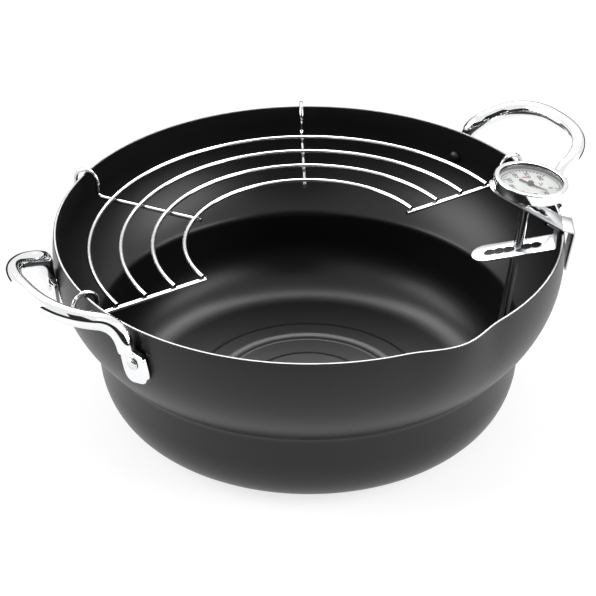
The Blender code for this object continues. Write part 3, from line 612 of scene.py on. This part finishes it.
mirror = rod.modifiers.new("other_half", 'MIRROR')
mirror.use_axis = (False, True, False)
mirror.merge_threshold = MIRROR_WELD
apply_all(rod)
bpy.ops.object.mode_set(mode='EDIT')
close_skin()
left_handle = copy_piece(rod, "chrome_handle_left", Matrix.Rotation(pi, 4, 'Z'))
fit(rod, chrome_rod, "pot", "polished_steel", "handle_right")
fit(left_handle, chrome_rod, "pot", "polished_steel", "handle_left")

# %% [markdown]
# Each flat end is held by one solid rivet through the plate and the wall, headed to a dome on both
# sides. One rivet is turned and copied to the four seats. The heads inside the pot are coated like
# the wall round them, and only the outer ones are bright.

# %% Rivets
RIVET_RADIUS = 0.0025
HEAD_RADIUS = 0.0033
HEAD_HEIGHT = 0.0016
HEAD_SEAT_GAP = 0.0005
HEAD_STEPS = 12


def head(foot, direction):
    """A rivet's domed head, from its edge to its crown."""
    return [(HEAD_RADIUS * out, foot + direction * HEAD_HEIGHT * up)
            for up, out in quarter_arc(HEAD_STEPS)]


outer_foot = 2 * SEAT_GAP + SPOON_THICKNESS
inner_foot = -SHEET - HEAD_SEAT_GAP
shank = [(RIVET_RADIUS, inner_foot), (RIVET_RADIUS, outer_foot)]
rivet = lathe("turned_rivet", head(inner_foot, -1)[::-1] + shank + head(outer_foot, 1), steps=40)
two_finishes(rivet, rivet_finish, baked_coating, lambda face: face.center.z < inner_foot)
for side, azimuth in HANDLE_AZIMUTHS.items():
    for end, sign in (("back", 1), ("front", -1)):
        turn = sign if side == "right" else -sign
        seat = wall_seat(azimuth + turn * RIVET_SPREAD, RIVET_DEPTH) @ Matrix.Rotation(pi / 2, 4, 'Y')
        copy = copy_piece(rivet, f"domed_rivet_{side}_{end}", seat)
        fit(copy, None, "pot", "rivet_steel", f"rivet_{side}_{end}")
bpy.data.objects.remove(rivet)

# %% [markdown]
# ## The drip rack
#
# The rack is four half rings of wire, welded onto four wires that run outward below them, climb the
# wall and hook over the rim. A half ring is a torus cut by a plane.

# %% Half rings
WIRE_RADIUS = 0.00115
WIRE_SIDES = 16
ARC_COUNT = 4
ARC_DEPTH = 0.0106
ARC_OVERHANG = 0.0012
FIRST_ARC_INSET = 0.0175
ARC_SPACING = 0.0163
ARC_FACETS = 200
ARC_RADII = [RIM_RADIUS - FIRST_ARC_INSET - ARC_SPACING * arc for arc in range(ARC_COUNT)]

for number, radius in enumerate(ARC_RADII, 1):
    deselect()
    bpy.ops.mesh.primitive_torus_add(location=(0, 0, POT_HEIGHT - ARC_DEPTH), major_radius=radius,
                                     minor_radius=WIRE_RADIUS, major_segments=ARC_FACETS,
                                     minor_segments=WIRE_SIDES)
    half_ring = bpy.context.object
    half_ring.name = f"rack_ring_{number}"
    bpy.ops.object.transform_apply(location=True)
    bpy.ops.object.mode_set(mode='EDIT')
    bpy.ops.mesh.select_all(action='SELECT')
    bpy.ops.mesh.bisect(plane_co=(0, -ARC_OVERHANG, 0), plane_no=(0, 1, 0), clear_inner=True)
    close_skin()
    fit(half_ring, chrome_wire, "rack", "rack_wire", f"rack_arc_{number}")

# %% [markdown]
# A hooked wire is a ring of points that is extruded along the straight runs and spun round the two
# bends, which is how a wire-bending machine makes it. It is bent once, along X, and copied to the
# four places where the rack hangs.

# %% Hooked wires
LEG_AZIMUTHS = {"right": 0.0, "back_right": radians(59), "back_left": radians(123), "left": pi}
LEG_OVERHANG = 0.0020
LEG_BEND = 0.0030
LEG_BEND_STEPS = 8
HOOK_RADIUS = 0.0065
HOOK_DROP = 0.0062
HOOK_STEPS = 20

leg_height = POT_HEIGHT - ARC_DEPTH - 2 * WIRE_RADIUS - SEAT_GAP
leg_start = ARC_RADII[-1] - LEG_OVERHANG
hook_middle = RIM_RADIUS - SHEET / 2
climb = hook_middle - HOOK_RADIUS
bend_middle = (climb - LEG_BEND, 0, leg_height + LEG_BEND)
hook_height = POT_HEIGHT + SEAT_GAP + WIRE_RADIUS - HOOK_RADIUS
leg_run = climb - LEG_BEND - leg_start
rise = hook_height - leg_height - LEG_BEND

deselect()
bpy.ops.mesh.primitive_circle_add(vertices=WIRE_SIDES, radius=WIRE_RADIUS, enter_editmode=True)
hooked_wire = bpy.context.object
hooked_wire.name = "hooked_wire"
bpy.ops.transform.rotate(value=pi / 2, orient_axis='Y', center_override=(0, 0, 0))
bpy.ops.transform.translate(value=(leg_start, 0, leg_height))
bpy.ops.mesh.extrude_region_move(TRANSFORM_OT_translate={"value": (leg_run, 0, 0)})
bpy.ops.mesh.spin(steps=LEG_BEND_STEPS, angle=pi / 2, center=bend_middle, axis=(0, 1, 0))
bpy.ops.mesh.extrude_region_move(TRANSFORM_OT_translate={"value": (0, 0, rise)})
bpy.ops.mesh.spin(steps=HOOK_STEPS, angle=pi, center=(hook_middle, 0, hook_height), axis=(0, -1, 0))
bpy.ops.mesh.extrude_region_move(TRANSFORM_OT_translate={"value": (0, 0, -HOOK_DROP)})
close_skin()
for name, azimuth in LEG_AZIMUTHS.items():
    copy = copy_piece(hooked_wire, f"rack_wire_{name}", Matrix.Rotation(azimuth, 4, 'Z'))
    fit(copy, chrome_wire, "rack", "rack_wire", f"rack_leg_{name}")
bpy.data.objects.remove(hooked_wire)

# %% [markdown]
# ## The thermometer's clip
#
# The clip is two folded strips of spring steel. The upper one hangs on the rim: a leg outside the
# wall, a saddle over the edge and an arm that slopes up and inward. The lower one is spotted under
# it, runs down the inside of the wall and carries a second, flatter arm. Both arms have a slot made
# of overlapping round holes, so the thermometer's stem can stand in any of them and at any lean.
# In the clip's own frame X points out of the pot, Y along the rim and Z up.

# %% The clip's folds
CLIP_AZIMUTH = radians(-33.7)
CLIP_ROLL = radians(1)
STRIP = 0.0009
STRIP_HALF_WIDTH = 0.0078
SPRING_LEG_DROP = 0.0230
SADDLE_REACH = 0.0053
SADDLE_FALL = 0.0012
CREASE_INSET = 0.0007
UPPER_PITCH = radians(31)
UPPER_ARM_LENGTH = 0.0446
LOWER_PITCH = radians(11.3)
LOWER_ARM_LENGTH = 0.0434
LOWER_ARM_DEPTH = 0.0098
WEB_SLANT = 0.0003
FLANGE_LENGTH = 0.0062

clip_place = (Matrix.Rotation(CLIP_AZIMUTH, 4, 'Z') @ Matrix.Translation((RIM_RADIUS, 0, POT_HEIGHT))
              @ Matrix.Rotation(-CLIP_ROLL, 4, 'X'))
fall = SADDLE_FALL / SADDLE_REACH
rim_gap = SEAT_GAP + STRIP_HALF_WIDTH * sin(CLIP_ROLL) + STRIP / 2 * sqrt(1 + fall * fall)
upper_run = Vector((-cos(UPPER_PITCH), sin(UPPER_PITCH)))
lower_run = Vector((-cos(LOWER_PITCH), -sin(LOWER_PITCH)))
leg_end = Vector((WIDEST_RADIUS - RIM_RADIUS + SEAT_GAP + STRIP / 2, rim_gap - SPRING_LEG_DROP))
saddle_end = Vector((SADDLE_REACH, rim_gap - SADDLE_FALL))
crease = Vector((-CREASE_INSET, rim_gap + CREASE_INSET * fall))
below = Vector((-sin(UPPER_PITCH), -cos(UPPER_PITCH))) * (STRIP + SEAT_GAP)
web_side = -(SHEET + SEAT_GAP + STRIP / 2 + STRIP_HALF_WIDTH ** 2 / (2 * RIM_RADIUS) + STRIP)
under_crease = crease + below
web_top = under_crease + upper_run * (under_crease.x - web_side) / cos(UPPER_PITCH)
root = Vector((web_side - WEB_SLANT, -LOWER_ARM_DEPTH))
upper_corners = [leg_end, saddle_end, crease, crease + upper_run * UPPER_ARM_LENGTH]
lower_corners = [web_top + upper_run * FLANGE_LENGTH, web_top, root, root + lower_run * LOWER_ARM_LENGTH]
print("clip stands", round(rim_gap, 5), "above the rim and its web", round(-web_side, 5), "inside it")

# %% [markdown]
# A strip starts as one edge across its width. The edge is extruded along the folded path, whose
# corners are arcs of the press tool's radius. The tip's two corners are rounded to a half circle,
# and the sheet gets its thickness.

# %% Fold a strip
STRIP_BEND = 0.0012
STRIP_BEND_STEPS = 5
# a little under 1, because two corners rounded by the whole half width would meet in one point
TIP_ROUNDING = 0.995
TIP_SEGMENTS = 12


def folded_path(corners):
    """Round the inner corners of a flat path with arcs."""
    path = [corners[0]]
    for before, corner, after in zip(corners, corners[1:], corners[2:]):
        into, out = (corner - before).normalized(), (after - corner).normalized()
        turn = atan2(into.x * out.y - into.y * out.x, into.dot(out))
        side = 1 if turn > 0 else -1
        bend_start = corner - into * STRIP_BEND * tan(abs(turn) / 2)
        centre = bend_start + Vector((-into.y, into.x)) * STRIP_BEND * side
        spoke = Vector((into.y, -into.x)) * STRIP_BEND * side
        turns = [turn * step / STRIP_BEND_STEPS for step in range(STRIP_BEND_STEPS + 1)]
        path += [centre + Matrix.Rotation(part, 2) @ spoke for part in turns]
    return path + [corners[-1]]


def fold_strip(name, corners):
    """A folded strip of sheet with a square start and a round tip, in the clip's frame."""
    path = [Vector((spot.x, 0, spot.y)) for spot in folded_path(corners)]
    across = Vector((0, STRIP_HALF_WIDTH, 0))
    piece = draw_chain(name, [path[0] - across, path[0] + across])
    bpy.ops.mesh.select_all(action='SELECT')
    for before, after in zip(path, path[1:]):
        bpy.ops.mesh.extrude_region_move(TRANSFORM_OT_translate={"value": after - before})
    bpy.ops.mesh.bevel(offset=STRIP_HALF_WIDTH * TIP_ROUNDING, segments=TIP_SEGMENTS, affect='VERTICES')
    bpy.ops.object.mode_set(mode='OBJECT')
    sheet = piece.modifiers.new("sheet", 'SOLIDIFY')
    sheet.thickness = STRIP
    sheet.offset = 0
    sheet.use_even_offset = True
    apply_all(piece)
    print(name, "folded,", len(path), "points along it")
    return piece


# %% [markdown]
# The slot is drilled with one round cutter per hole. The holes overlap, so the cutters leave the
# wavy edge that stops the stem from sliding along. Tumbling then breaks every sharp edge, and that
# thin line of light is what makes sheet metal look real.

# %% Drill a strip and break its edges
SLOT_HOLES = 6
SLOT_PITCH = 0.0048
HOLE_RADIUS = 0.0030
HOLE_FACETS = 40
DRILL_LENGTH = 0.01
EDGE_ROUNDING = 0.00015
EDGE_SEGMENTS = 2
EDGE_ANGLE = radians(50)


def drill_slot(piece, start, run, pitch):
    """Drill a row of overlapping holes along an arm."""
    for hole in range(SLOT_HOLES):
        spot = start + run * SLOT_PITCH * hole
        deselect()
        bpy.ops.mesh.primitive_cylinder_add(vertices=HOLE_FACETS, radius=HOLE_RADIUS, depth=DRILL_LENGTH,
                                            location=(spot.x, 0, spot.y), rotation=(0, pitch, 0))
        drill = bpy.context.object
        bore = piece.modifiers.new("hole", 'BOOLEAN')
        bore.operation = 'DIFFERENCE'
        bore.object = drill
        apply_all(piece)
        bpy.data.objects.remove(drill)


def tumble_edges(piece):
    """Break the sharp edges of a strip, as tumbling does."""
    edge = piece.modifiers.new("tumbled_edge", 'BEVEL')
    edge.width = EDGE_ROUNDING
    edge.segments = EDGE_SEGMENTS
    edge.limit_method = 'ANGLE'
    edge.angle_limit = EDGE_ANGLE
    apply_all(piece)
    bpy.ops.object.shade_smooth_by_angle(angle=SMOOTH_ANGLE)


# %% The two strips
UPPER_FIRST_HOLE = 0.0123
LOWER_FIRST_HOLE = 0.0100
TURNED_INWARD = -0.9


def inside_spring_leg(face):
    """Whether a face is on the side of the spring leg that looks at the wall."""
    return face.center.z < saddle_end.y - STRIP_BEND and face.normal.x < TURNED_INWARD


upper_strip = fold_strip("clip_saddle_strip", upper_corners)
# the spring leg's side that faces the wall gets painted shade, the dark metal that stands in for its dark
# reflection
two_finishes(upper_strip, spring_strip, painted_shade_wall, inside_spring_leg)
drill_slot(upper_strip, crease + upper_run * UPPER_FIRST_HOLE, upper_run, UPPER_PITCH)
tumble_edges(upper_strip)
settle(upper_strip, clip_place)
fit(upper_strip, None, "clip", "clip_steel", "clip_upper_strip")

lower_strip = fold_strip("clip_web_strip", lower_corners)
drill_slot(lower_strip, root + lower_run * LOWER_FIRST_HOLE, lower_run, -LOWER_PITCH)
tumble_edges(lower_strip)
settle(lower_strip, clip_place)
fit(lower_strip, spring_strip, "clip", "clip_steel", "clip_lower_strip")

# %% [markdown]
# ## The thermometer
#
# The thermometer is turned round its own axis, so all of its pieces are made upright at the origin
# and then settled together on the line through the third hole of each arm.

# %% The thermometer's place
STEM_HOLE = 2
CASE_RADIUS = 0.0179
CASE_TAPER = 0.0012
CASE_CORNER = 0.0016

upper_hole = crease + upper_run * (UPPER_FIRST_HOLE + STEM_HOLE * SLOT_PITCH)
lower_hole = root + lower_run * (LOWER_FIRST_HOLE + STEM_HOLE * SLOT_PITCH)
axis = (upper_hole - lower_hole).normalized()
lean = atan2(axis.x, axis.y)
tilt = UPPER_PITCH - lean
rest_gap = STRIP / 2 + SEAT_GAP + CASE_CORNER
foot_radius = CASE_RADIUS - CASE_TAPER
standoff = (rest_gap + (foot_radius - CASE_CORNER) * sin(tilt)) / cos(tilt) - CASE_CORNER
base = upper_hole + axis * standoff
thermometer_place = clip_place @ Matrix.Translation((base.x, 0, base.y)) @ Matrix.Rotation(lean, 4, 'Y')
print("thermometer stands at", thermometer_place.translation)


def stand_on_axis(piece, finish, slot, *nodes):
    """Settle a piece on the thermometer's axis and fit it."""
    settle(piece, thermometer_place)
    fit(piece, finish, "thermometer", slot, *nodes)


# %% [markdown]
# The case is a drawn cup, open at the top, with a ledge for the dial well below the glass. Its wall
# above the ledge gets painted shade, a dark metal that stands in for the dark bands reflected there.
# The stem is a tube that is closed at its lower end, and the collar is a short ferrule under the case,
# round the stem.

# %% Case, stem and collar
CASE_HEIGHT = 0.0049
CASE_WALL = 0.0008
CASE_CORNER_STEPS = 6
LEDGE_HEIGHT = 0.0023
LEDGE_WIDTH = 0.0012
STEM_RADIUS = 0.0025
STEM_BORE = 0.0019
STEM_LENGTH = 0.095
STEM_TOP_RISE = 0.0006
STEM_END_WALL = 0.0012
STEM_TIP_STEPS = 8
COLLAR_RADIUS = 0.0045
COLLAR_LENGTH = 0.0030
COLLAR_CHAMFER = 0.0006

bore = STEM_RADIUS + SEAT_GAP
inner = CASE_RADIUS - CASE_WALL
ledge = inner - LEDGE_WIDTH - CASE_TAPER
corner = [(foot_radius - CASE_CORNER * (1 - out), CASE_CORNER * (1 - up))
          for out, up in quarter_arc(CASE_CORNER_STEPS)]
case_section = [(bore, 0)] + corner + [(CASE_RADIUS, CASE_HEIGHT), (inner, CASE_HEIGHT),
                                       (inner, LEDGE_HEIGHT), (ledge, LEDGE_HEIGHT), (ledge, CASE_WALL),
                                       (bore, CASE_WALL), (bore, 0)]


def above_ledge(face):
    """Whether a face is on the inner wall of the case, above the dial's ledge."""
    off_axis = Vector((face.center.x, face.center.y, 0)).length
    return face.center.z > LEDGE_HEIGHT and abs(off_axis - inner) < CASE_WALL / 4


case = lathe("drawn_case", case_section, steps=120)
# the case's wall above the ledge gets painted shade, the dark metal that stands in for the dark bands
# reflected there
two_finishes(case, drawn_case, painted_shade_wall, above_ledge)
stand_on_axis(case, None, "case_steel", "thermometer_case")

stem_top = CASE_WALL + STEM_TOP_RISE
tip = [(STEM_RADIUS * out, -STEM_LENGTH + STEM_RADIUS * (1 - up))
       for out, up in quarter_arc(STEM_TIP_STEPS)]
stem_section = tip + [(STEM_RADIUS, stem_top), (STEM_BORE, stem_top),
                      (STEM_BORE, -STEM_LENGTH + STEM_RADIUS), (0, -STEM_LENGTH + STEM_END_WALL)]
stem = lathe("polished_stem", stem_section, steps=40)
stand_on_axis(stem, polished_tube, "polished_steel", "thermometer_stem")

foot = -SEAT_GAP - COLLAR_LENGTH
collar_section = [(bore, foot), (COLLAR_RADIUS - COLLAR_CHAMFER, foot),
                  (COLLAR_RADIUS, foot + COLLAR_CHAMFER), (COLLAR_RADIUS, -SEAT_GAP),
                  (bore, -SEAT_GAP), (bore, foot)]
collar = lathe("stem_collar", collar_section, steps=48)
stand_on_axis(collar, polished_tube, "polished_steel", "thermometer_collar")

# %% [markdown]
# A rubber ring lies on the case's edge, the glass on the ring, and the bezel is crimped over both.
# The bezel's crown is a small roll, bright all round, which is why its section is drawn with a
# rounded outer shoulder and a rounded inner lip.

# %% Gasket, glass and bezel
GASKET_WIDTH = 0.0013
GASKET_THICKNESS = 0.0004
GLASS_THICKNESS = 0.0006
BEZEL_WALL = 0.0007
BEZEL_LIP_WIDTH = 0.0025
BEZEL_LIP_THICKNESS = 0.0005
BEZEL_OVERLAP = 0.0032
SHOULDER_STEPS = 6
LIP_STEPS = 8

gasket_foot = CASE_HEIGHT + SEAT_GAP
gasket_top = gasket_foot + GASKET_THICKNESS
gasket = lathe("seal_ring", ring_outline(CASE_RADIUS - GASKET_WIDTH, CASE_RADIUS, gasket_foot, gasket_top))
stand_on_axis(gasket, silicone, "gasket_rubber", "thermometer_gasket")

glass_foot = gasket_top + SEAT_GAP
glass_top = glass_foot + GLASS_THICKNESS
glass_section = [(0, glass_foot), (CASE_RADIUS, glass_foot), (CASE_RADIUS, glass_top), (0, glass_top)]
glass = lathe("dial_glass", glass_section)
stand_on_axis(glass, dial_glass, "lens_glass", "thermometer_lens")

skirt = CASE_RADIUS + SEAT_GAP
outer = skirt + BEZEL_WALL
lip_foot = glass_top + SEAT_GAP
bezel_top = lip_foot + BEZEL_LIP_THICKNESS
opening = outer - BEZEL_LIP_WIDTH
shoulder = [(outer - BEZEL_WALL * (1 - out), bezel_top - BEZEL_WALL * (1 - up))
            for up, out in quarter_arc(SHOULDER_STEPS)]
roll = BEZEL_LIP_THICKNESS / 2
lip_angles = [pi * step / LIP_STEPS for step in range(LIP_STEPS + 1)]
lip = [(opening + roll * (1 - sin(angle)), lip_foot + roll * (1 + cos(angle))) for angle in lip_angles]
skirt_foot = CASE_HEIGHT - BEZEL_OVERLAP
bezel_section = [(skirt, skirt_foot), (outer, skirt_foot)] + shoulder + lip
bezel = lathe("crimped_bezel", bezel_section + [(skirt, lip_foot), (skirt, skirt_foot)], steps=160)
stand_on_axis(bezel, chrome_rod, "polished_steel", "thermometer_bezel")

# %% [markdown]
# ## The dial
#
# The dial is printed: a ring line, a tick for every five degrees of heat and a longer one for every
# twenty-five, numbers, and a red band where tempura fries. The plate is a flat ring, turned like the
# other round pieces.

# %% Dial plate
DIAL_THICKNESS = 0.0005
SHAFT_RADIUS = 0.0006

dial_foot = LEDGE_HEIGHT + SEAT_GAP
dial_top = dial_foot + DIAL_THICKNESS
dial_inner = SHAFT_RADIUS + SEAT_GAP
dial_outer = CASE_RADIUS - CASE_WALL - SEAT_GAP
dial = lathe("printed_dial", ring_outline(dial_inner, dial_outer, dial_foot, dial_top), steps=120)
stand_on_axis(dial, dial_paint, "dial_white", "dial_plate")

# %% [markdown]
# A tick is a small block that is made on the X axis and turned to its own angle. The numbers are
# text made into a mesh. Printed ink lies on the paint, so all of it gets a thickness of a few
# hundredths of a millimetre.

# %% Helpers for the print
INK_LIFT = 0.00003
NUMBER_BOLDNESS = 0.00012
DIAL_UP = radians(200)


def ink_block(name, length, width, radius, angle):
    """A thin flat block of ink that points at the dial's middle."""
    deselect()
    bpy.ops.mesh.primitive_plane_add(size=1, enter_editmode=True)
    block = bpy.context.object
    block.name = name
    bpy.ops.transform.resize(value=(length, width, 1))
    bpy.ops.transform.translate(value=(radius - length / 2, 0, dial_top))
    bpy.ops.mesh.extrude_region_move(TRANSFORM_OT_translate={"value": (0, 0, INK_LIFT)})
    close_skin()
    settle(block, Matrix.Rotation(angle, 4, 'Z'))
    return block


def number_on_dial(text, size, radius, angle):
    """A printed number, made from text and stood upright on the dial."""
    deselect()
    bpy.ops.object.text_add()
    number = bpy.context.object
    number.data.body = text
    number.data.size = size
    number.data.align_x = 'CENTER'
    number.data.align_y = 'CENTER'
    number.data.extrude = INK_LIFT / 2
    number.data.offset = NUMBER_BOLDNESS
    bpy.ops.object.convert(target='MESH')
    place = Matrix.Translation((radius * cos(angle), radius * sin(angle), dial_top + INK_LIFT / 2))
    settle(number, place @ Matrix.Rotation(DIAL_UP - pi / 2, 4, 'Z'))
    return number


def join_pieces(name, pieces):
    """Join several meshes into one piece."""
    deselect()
    for piece in pieces:
        piece.select_set(True)
    bpy.context.view_layer.objects.active = pieces[0]
    bpy.ops.object.join()
    bpy.context.object.name = name
    return bpy.context.object


# %% Ticks and numbers
SCALE_START = radians(-3)
SCALE_SWEEP = radians(-300)
SCALE_RADIUS = 0.0150
RING_LINE_WIDTH = 0.0003
HIGHEST = 200
TICK_EVERY = 5
NUMBER_EVERY = 25
# each tick's length and width
LONG_TICK = (0.0026, 0.00060)
SHORT_TICK = (0.0018, 0.00038)
NUMBER_SIZE = 0.0032
NUMBER_RADIUS = 0.0104
UNIT_SIZE = 0.0028
UNIT_RADIUS = -0.0062


def heat_angle(heat):
    """The angle on the dial of a temperature in degrees Celsius."""
    return SCALE_START + SCALE_SWEEP * heat / HIGHEST


line_outline = ring_outline(SCALE_RADIUS, SCALE_RADIUS + RING_LINE_WIDTH, dial_top, dial_top + INK_LIFT)
marks = [lathe("ring_line", line_outline, steps=120)]
for heat in range(0, HIGHEST + 1, TICK_EVERY):
    tick = SHORT_TICK if heat % NUMBER_EVERY else LONG_TICK
    marks.append(ink_block(f"tick_{heat}", *tick, SCALE_RADIUS, heat_angle(heat)))
for heat in range(0, HIGHEST + 1, NUMBER_EVERY):
    marks.append(number_on_dial(str(heat), NUMBER_SIZE, NUMBER_RADIUS, heat_angle(heat)))
marks.append(number_on_dial("°C", UNIT_SIZE, UNIT_RADIUS, DIAL_UP))
print(len(marks), "marks on the dial")
printing = join_pieces("dial_printing", marks)
stand_on_axis(printing, black_enamel, "needle_black")

# %% [markdown]
# Tempura fries between 160 and 180 degrees. The red band there is a row of the same small blocks,
# set so close that they read as one arc.

# %% The frying band
FRYING_LOW = 160
FRYING_HIGH = 180
BAND_BLOCKS = 24
BAND_BLOCK = (0.0011, 0.00050)
BAND_RADIUS = 0.0084

band_blocks = []
for step in range(BAND_BLOCKS):
    heat = FRYING_LOW + (FRYING_HIGH - FRYING_LOW) * step / (BAND_BLOCKS - 1)
    band_blocks.append(ink_block("red", *BAND_BLOCK, BAND_RADIUS, heat_angle(heat)))
frying_band = join_pieces("frying_band", band_blocks)
stand_on_axis(frying_band, red_enamel, "dial_white")

# %% [markdown]
# The needle is a flat stamping: a thin tip, a round eye and a wider tail. It is drawn as a closed
# chain, filled, and given its thickness. A small cap holds it on the shaft that comes up from the
# bimetal coil. Both turn with the shaft, so they ride on a body of their own.

# %% Needle and cap
POINTER_REST = radians(-33)
NEEDLE_GAP = 0.0005
NEEDLE_THICKNESS = 0.0003
NEEDLE_LENGTH = 0.0098
TAIL_LENGTH = 0.0065
TIP_HALF_WIDTH = 0.0002
TAIL_HALF_WIDTH = 0.0007
EYE_RADIUS = 0.0017
EYE_ANGLES = [radians(turn) for turn in range(15, 166, 10)]
HUB_RADIUS = 0.0015
HUB_HEIGHT = 0.0010
HUB_WALL = 0.0003
HUB_ROUNDING = 0.0001

needle_foot = dial_top + NEEDLE_GAP
needle_top = needle_foot + NEEDLE_THICKNESS
side = [(NEEDLE_LENGTH, TIP_HALF_WIDTH)]
side += [(EYE_RADIUS * cos(angle), EYE_RADIUS * sin(angle)) for angle in EYE_ANGLES]
side += [(-TAIL_LENGTH, TAIL_HALF_WIDTH)]
needle_points = [(x, y, needle_foot) for x, y in side + [(x, -y) for x, y in reversed(side)]]
needle = draw_chain("pointer_blade", needle_points + needle_points[:1])
bpy.ops.mesh.select_all(action='SELECT')
bpy.ops.mesh.remove_doubles(threshold=WELD)
bpy.ops.mesh.edge_face_add()
bpy.ops.mesh.extrude_region_move(TRANSFORM_OT_translate={"value": (0, 0, NEEDLE_THICKNESS)})
close_skin()
pointer_place = thermometer_place @ Matrix.Rotation(POINTER_REST, 4, 'Z')
settle(needle, pointer_place)
fit(needle, black_enamel, "pointer", "needle_black", "pointer_needle")

hub_foot = needle_top + SEAT_GAP
hub_top = hub_foot + HUB_HEIGHT
hub_section = [(0, hub_foot), (HUB_RADIUS, hub_foot), (HUB_RADIUS, hub_top - HUB_WALL),
               (HUB_RADIUS - HUB_WALL, hub_top), (0, hub_top)]
hub = lathe("pointer_cap", hub_section, steps=40, rounding=HUB_ROUNDING)
settle(hub, pointer_place)
fit(hub, black_enamel, "pointer", "needle_black", "pointer_hub")

# %% [markdown]
# The shaft and the bimetal coil stand inside the stem, where only a cut would show them. Their
# solids are already right, so they keep their meshes and only get their metals.

# %% Inner works
for name, finish in (("pointer_shaft", polished_tube), ("bimetal_coil", bimetal)):
    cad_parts[name].data.materials.clear()
    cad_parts[name].data.materials.append(finish)
    print(name, "keeps its solid, in", finish.name)

# %% [markdown]
# ## Studio
#
# The pot stands on white paper under soft light. The floor looks white because of its own colour
# and a little added brightness that only the camera, metal and glass see, so the pot is not lit by
# it and its soft shadow stays. The same three see the world as plain white.

# %% Floor
FLOOR_LIFT = 0.72
FLOOR_CLEARANCE = 0.0002
FLOOR_SIZE = 8


def seen_directly(owner, strength):
    """A strength that counts for the camera's, metal's and glass's rays and is zero for all others."""
    paths = add_node(owner, "ShaderNodeLightPath").outputs
    seen = paths["Is Camera Ray"]
    for ray in ("Is Glossy Ray", "Is Transmission Ray"):
        either = add_node(owner, "ShaderNodeMath", {"operation": 'MAXIMUM'}, {0: seen, 1: paths[ray]})
        seen = either.outputs[0]
    lifted = add_node(owner, "ShaderNodeMath", {"operation": 'MULTIPLY'}, {0: seen})
    lifted.inputs[1].default_value = strength
    return lifted.outputs[0]


deselect()
bpy.ops.mesh.primitive_plane_add(size=FLOOR_SIZE, location=(0, 0, -FLOOR_CLEARANCE))
floor = bpy.context.object
floor.name = "studio_floor"
paper = new_finish("studio_paper", "#959595", 0.9)
paper_shader = paper.node_tree.nodes["Principled BSDF"]
paper_shader.inputs["Emission Color"].default_value = (1, 1, 1, 1)
paper.node_tree.links.new(seen_directly(paper, FLOOR_LIFT), paper_shader.inputs["Emission Strength"])
floor.data.materials.append(paper)

# %% [markdown]
# Chrome under an even white sky would look like white paint. Photographers stand black card round
# such a piece, and its thin dark lines are what tells the eye that the surface is a mirror. Here a
# low ring of card stands round the table, a higher strip in front and a tall one beside the camera.
# Only reflections see them, so they take no light away from the pot.

# %% Black card
CARD_RADIUS = 1.7
CARD_FACETS = 96
# each card's name, height, turn from the camera's side, and the distance at which it is cut
CARDS = [
    ("low_card_ring", 0.40, 0, -2 * CARD_RADIUS),
    ("front_card", 0.80, radians(-12), 0.60),
    ("tall_card", 2.60, radians(11), 1.58),
]

card = new_finish("black_card", "#0A0A0A", 0.9)


def stand_card(name, height, middle, back_edge):
    """A curved strip of card; what lies behind an edge, measured toward its middle, is cut off."""
    deselect()
    bpy.ops.mesh.primitive_cylinder_add(vertices=CARD_FACETS, radius=CARD_RADIUS, depth=height,
                                        end_fill_type='NOTHING', location=(0, 0, height / 2))
    strip = bpy.context.object
    strip.name = name
    facing = Vector((cos(middle), sin(middle), 0))
    bpy.ops.object.mode_set(mode='EDIT')
    bpy.ops.mesh.select_all(action='SELECT')
    bpy.ops.mesh.bisect(plane_co=facing * back_edge, plane_no=facing, clear_inner=True)
    bpy.ops.object.mode_set(mode='OBJECT')
    for ray in ("visible_camera", "visible_diffuse", "visible_transmission", "visible_shadow"):
        setattr(strip, ray, False)
    strip.data.materials.append(card)
    print(name, "stands, with", len(strip.data.polygons), "faces")


camera_side = atan2(CAMERA_PLACE[1], CAMERA_PLACE[0])
for name, height, turn, back_edge in CARDS:
    stand_card(name, height, camera_side + turn, back_edge)

# %% [markdown]
# Three softboxes stand round the pot. The far one is there for reflections alone: it draws the light
# on the pot's floor, the wires and the rim, and adds nothing to the plain light on matt surfaces,
# which comes from the world and the two boxes at the sides.

# %% World and lamps
WORLD_LIGHT = 0.6
SOFTBOX_HEIGHT = 0.9
# each softbox's name, place, height that it points at, width, watts, and if it is for reflections alone
SOFTBOXES = [
    ("far_softbox", (0.45, 0.69, 1.20), 0.02, 1.5, 50, True),
    ("left_softbox", (-1.01, 0.62, 0.52), 0.05, 1.0, 17, False),
    ("right_softbox", (0.80, -0.90, 0.56), 0.05, 1.0, 17, False),
]

world = bpy.data.worlds.new("white_studio")
world.use_nodes = True
bpy.context.scene.world = world
background = world.node_tree.nodes["Background"]
background.inputs["Color"].default_value = (1, 1, 1, 1)
direct_light = seen_directly(world, 1 - WORLD_LIGHT)
brightness = add_node(world, "ShaderNodeMath", {"operation": 'ADD'}, {0: direct_light})
brightness.inputs[1].default_value = WORLD_LIGHT
world.node_tree.links.new(brightness.outputs[0], background.inputs["Strength"])

for name, place, aim_height, width, watts, reflections_alone in SOFTBOXES:
    direction = Vector((0, 0, aim_height)) - Vector(place)
    turns = direction.to_track_quat('-Z', 'Y').to_euler()
    bpy.ops.object.light_add(type='AREA', location=place, rotation=turns)
    softbox = bpy.context.object
    softbox.name = name
    softbox.data.shape = 'RECTANGLE'
    softbox.data.size = width
    softbox.data.size_y = SOFTBOX_HEIGHT
    softbox.data.energy = watts
    softbox.visible_diffuse = not reflections_alone
    softbox.visible_transmission = not reflections_alone
    print(name, "hangs at", place)

# %% [markdown]
# The plain view transform shows a colour as it is written.

# %% Look
bpy.context.scene.view_settings.view_transform = 'Standard'
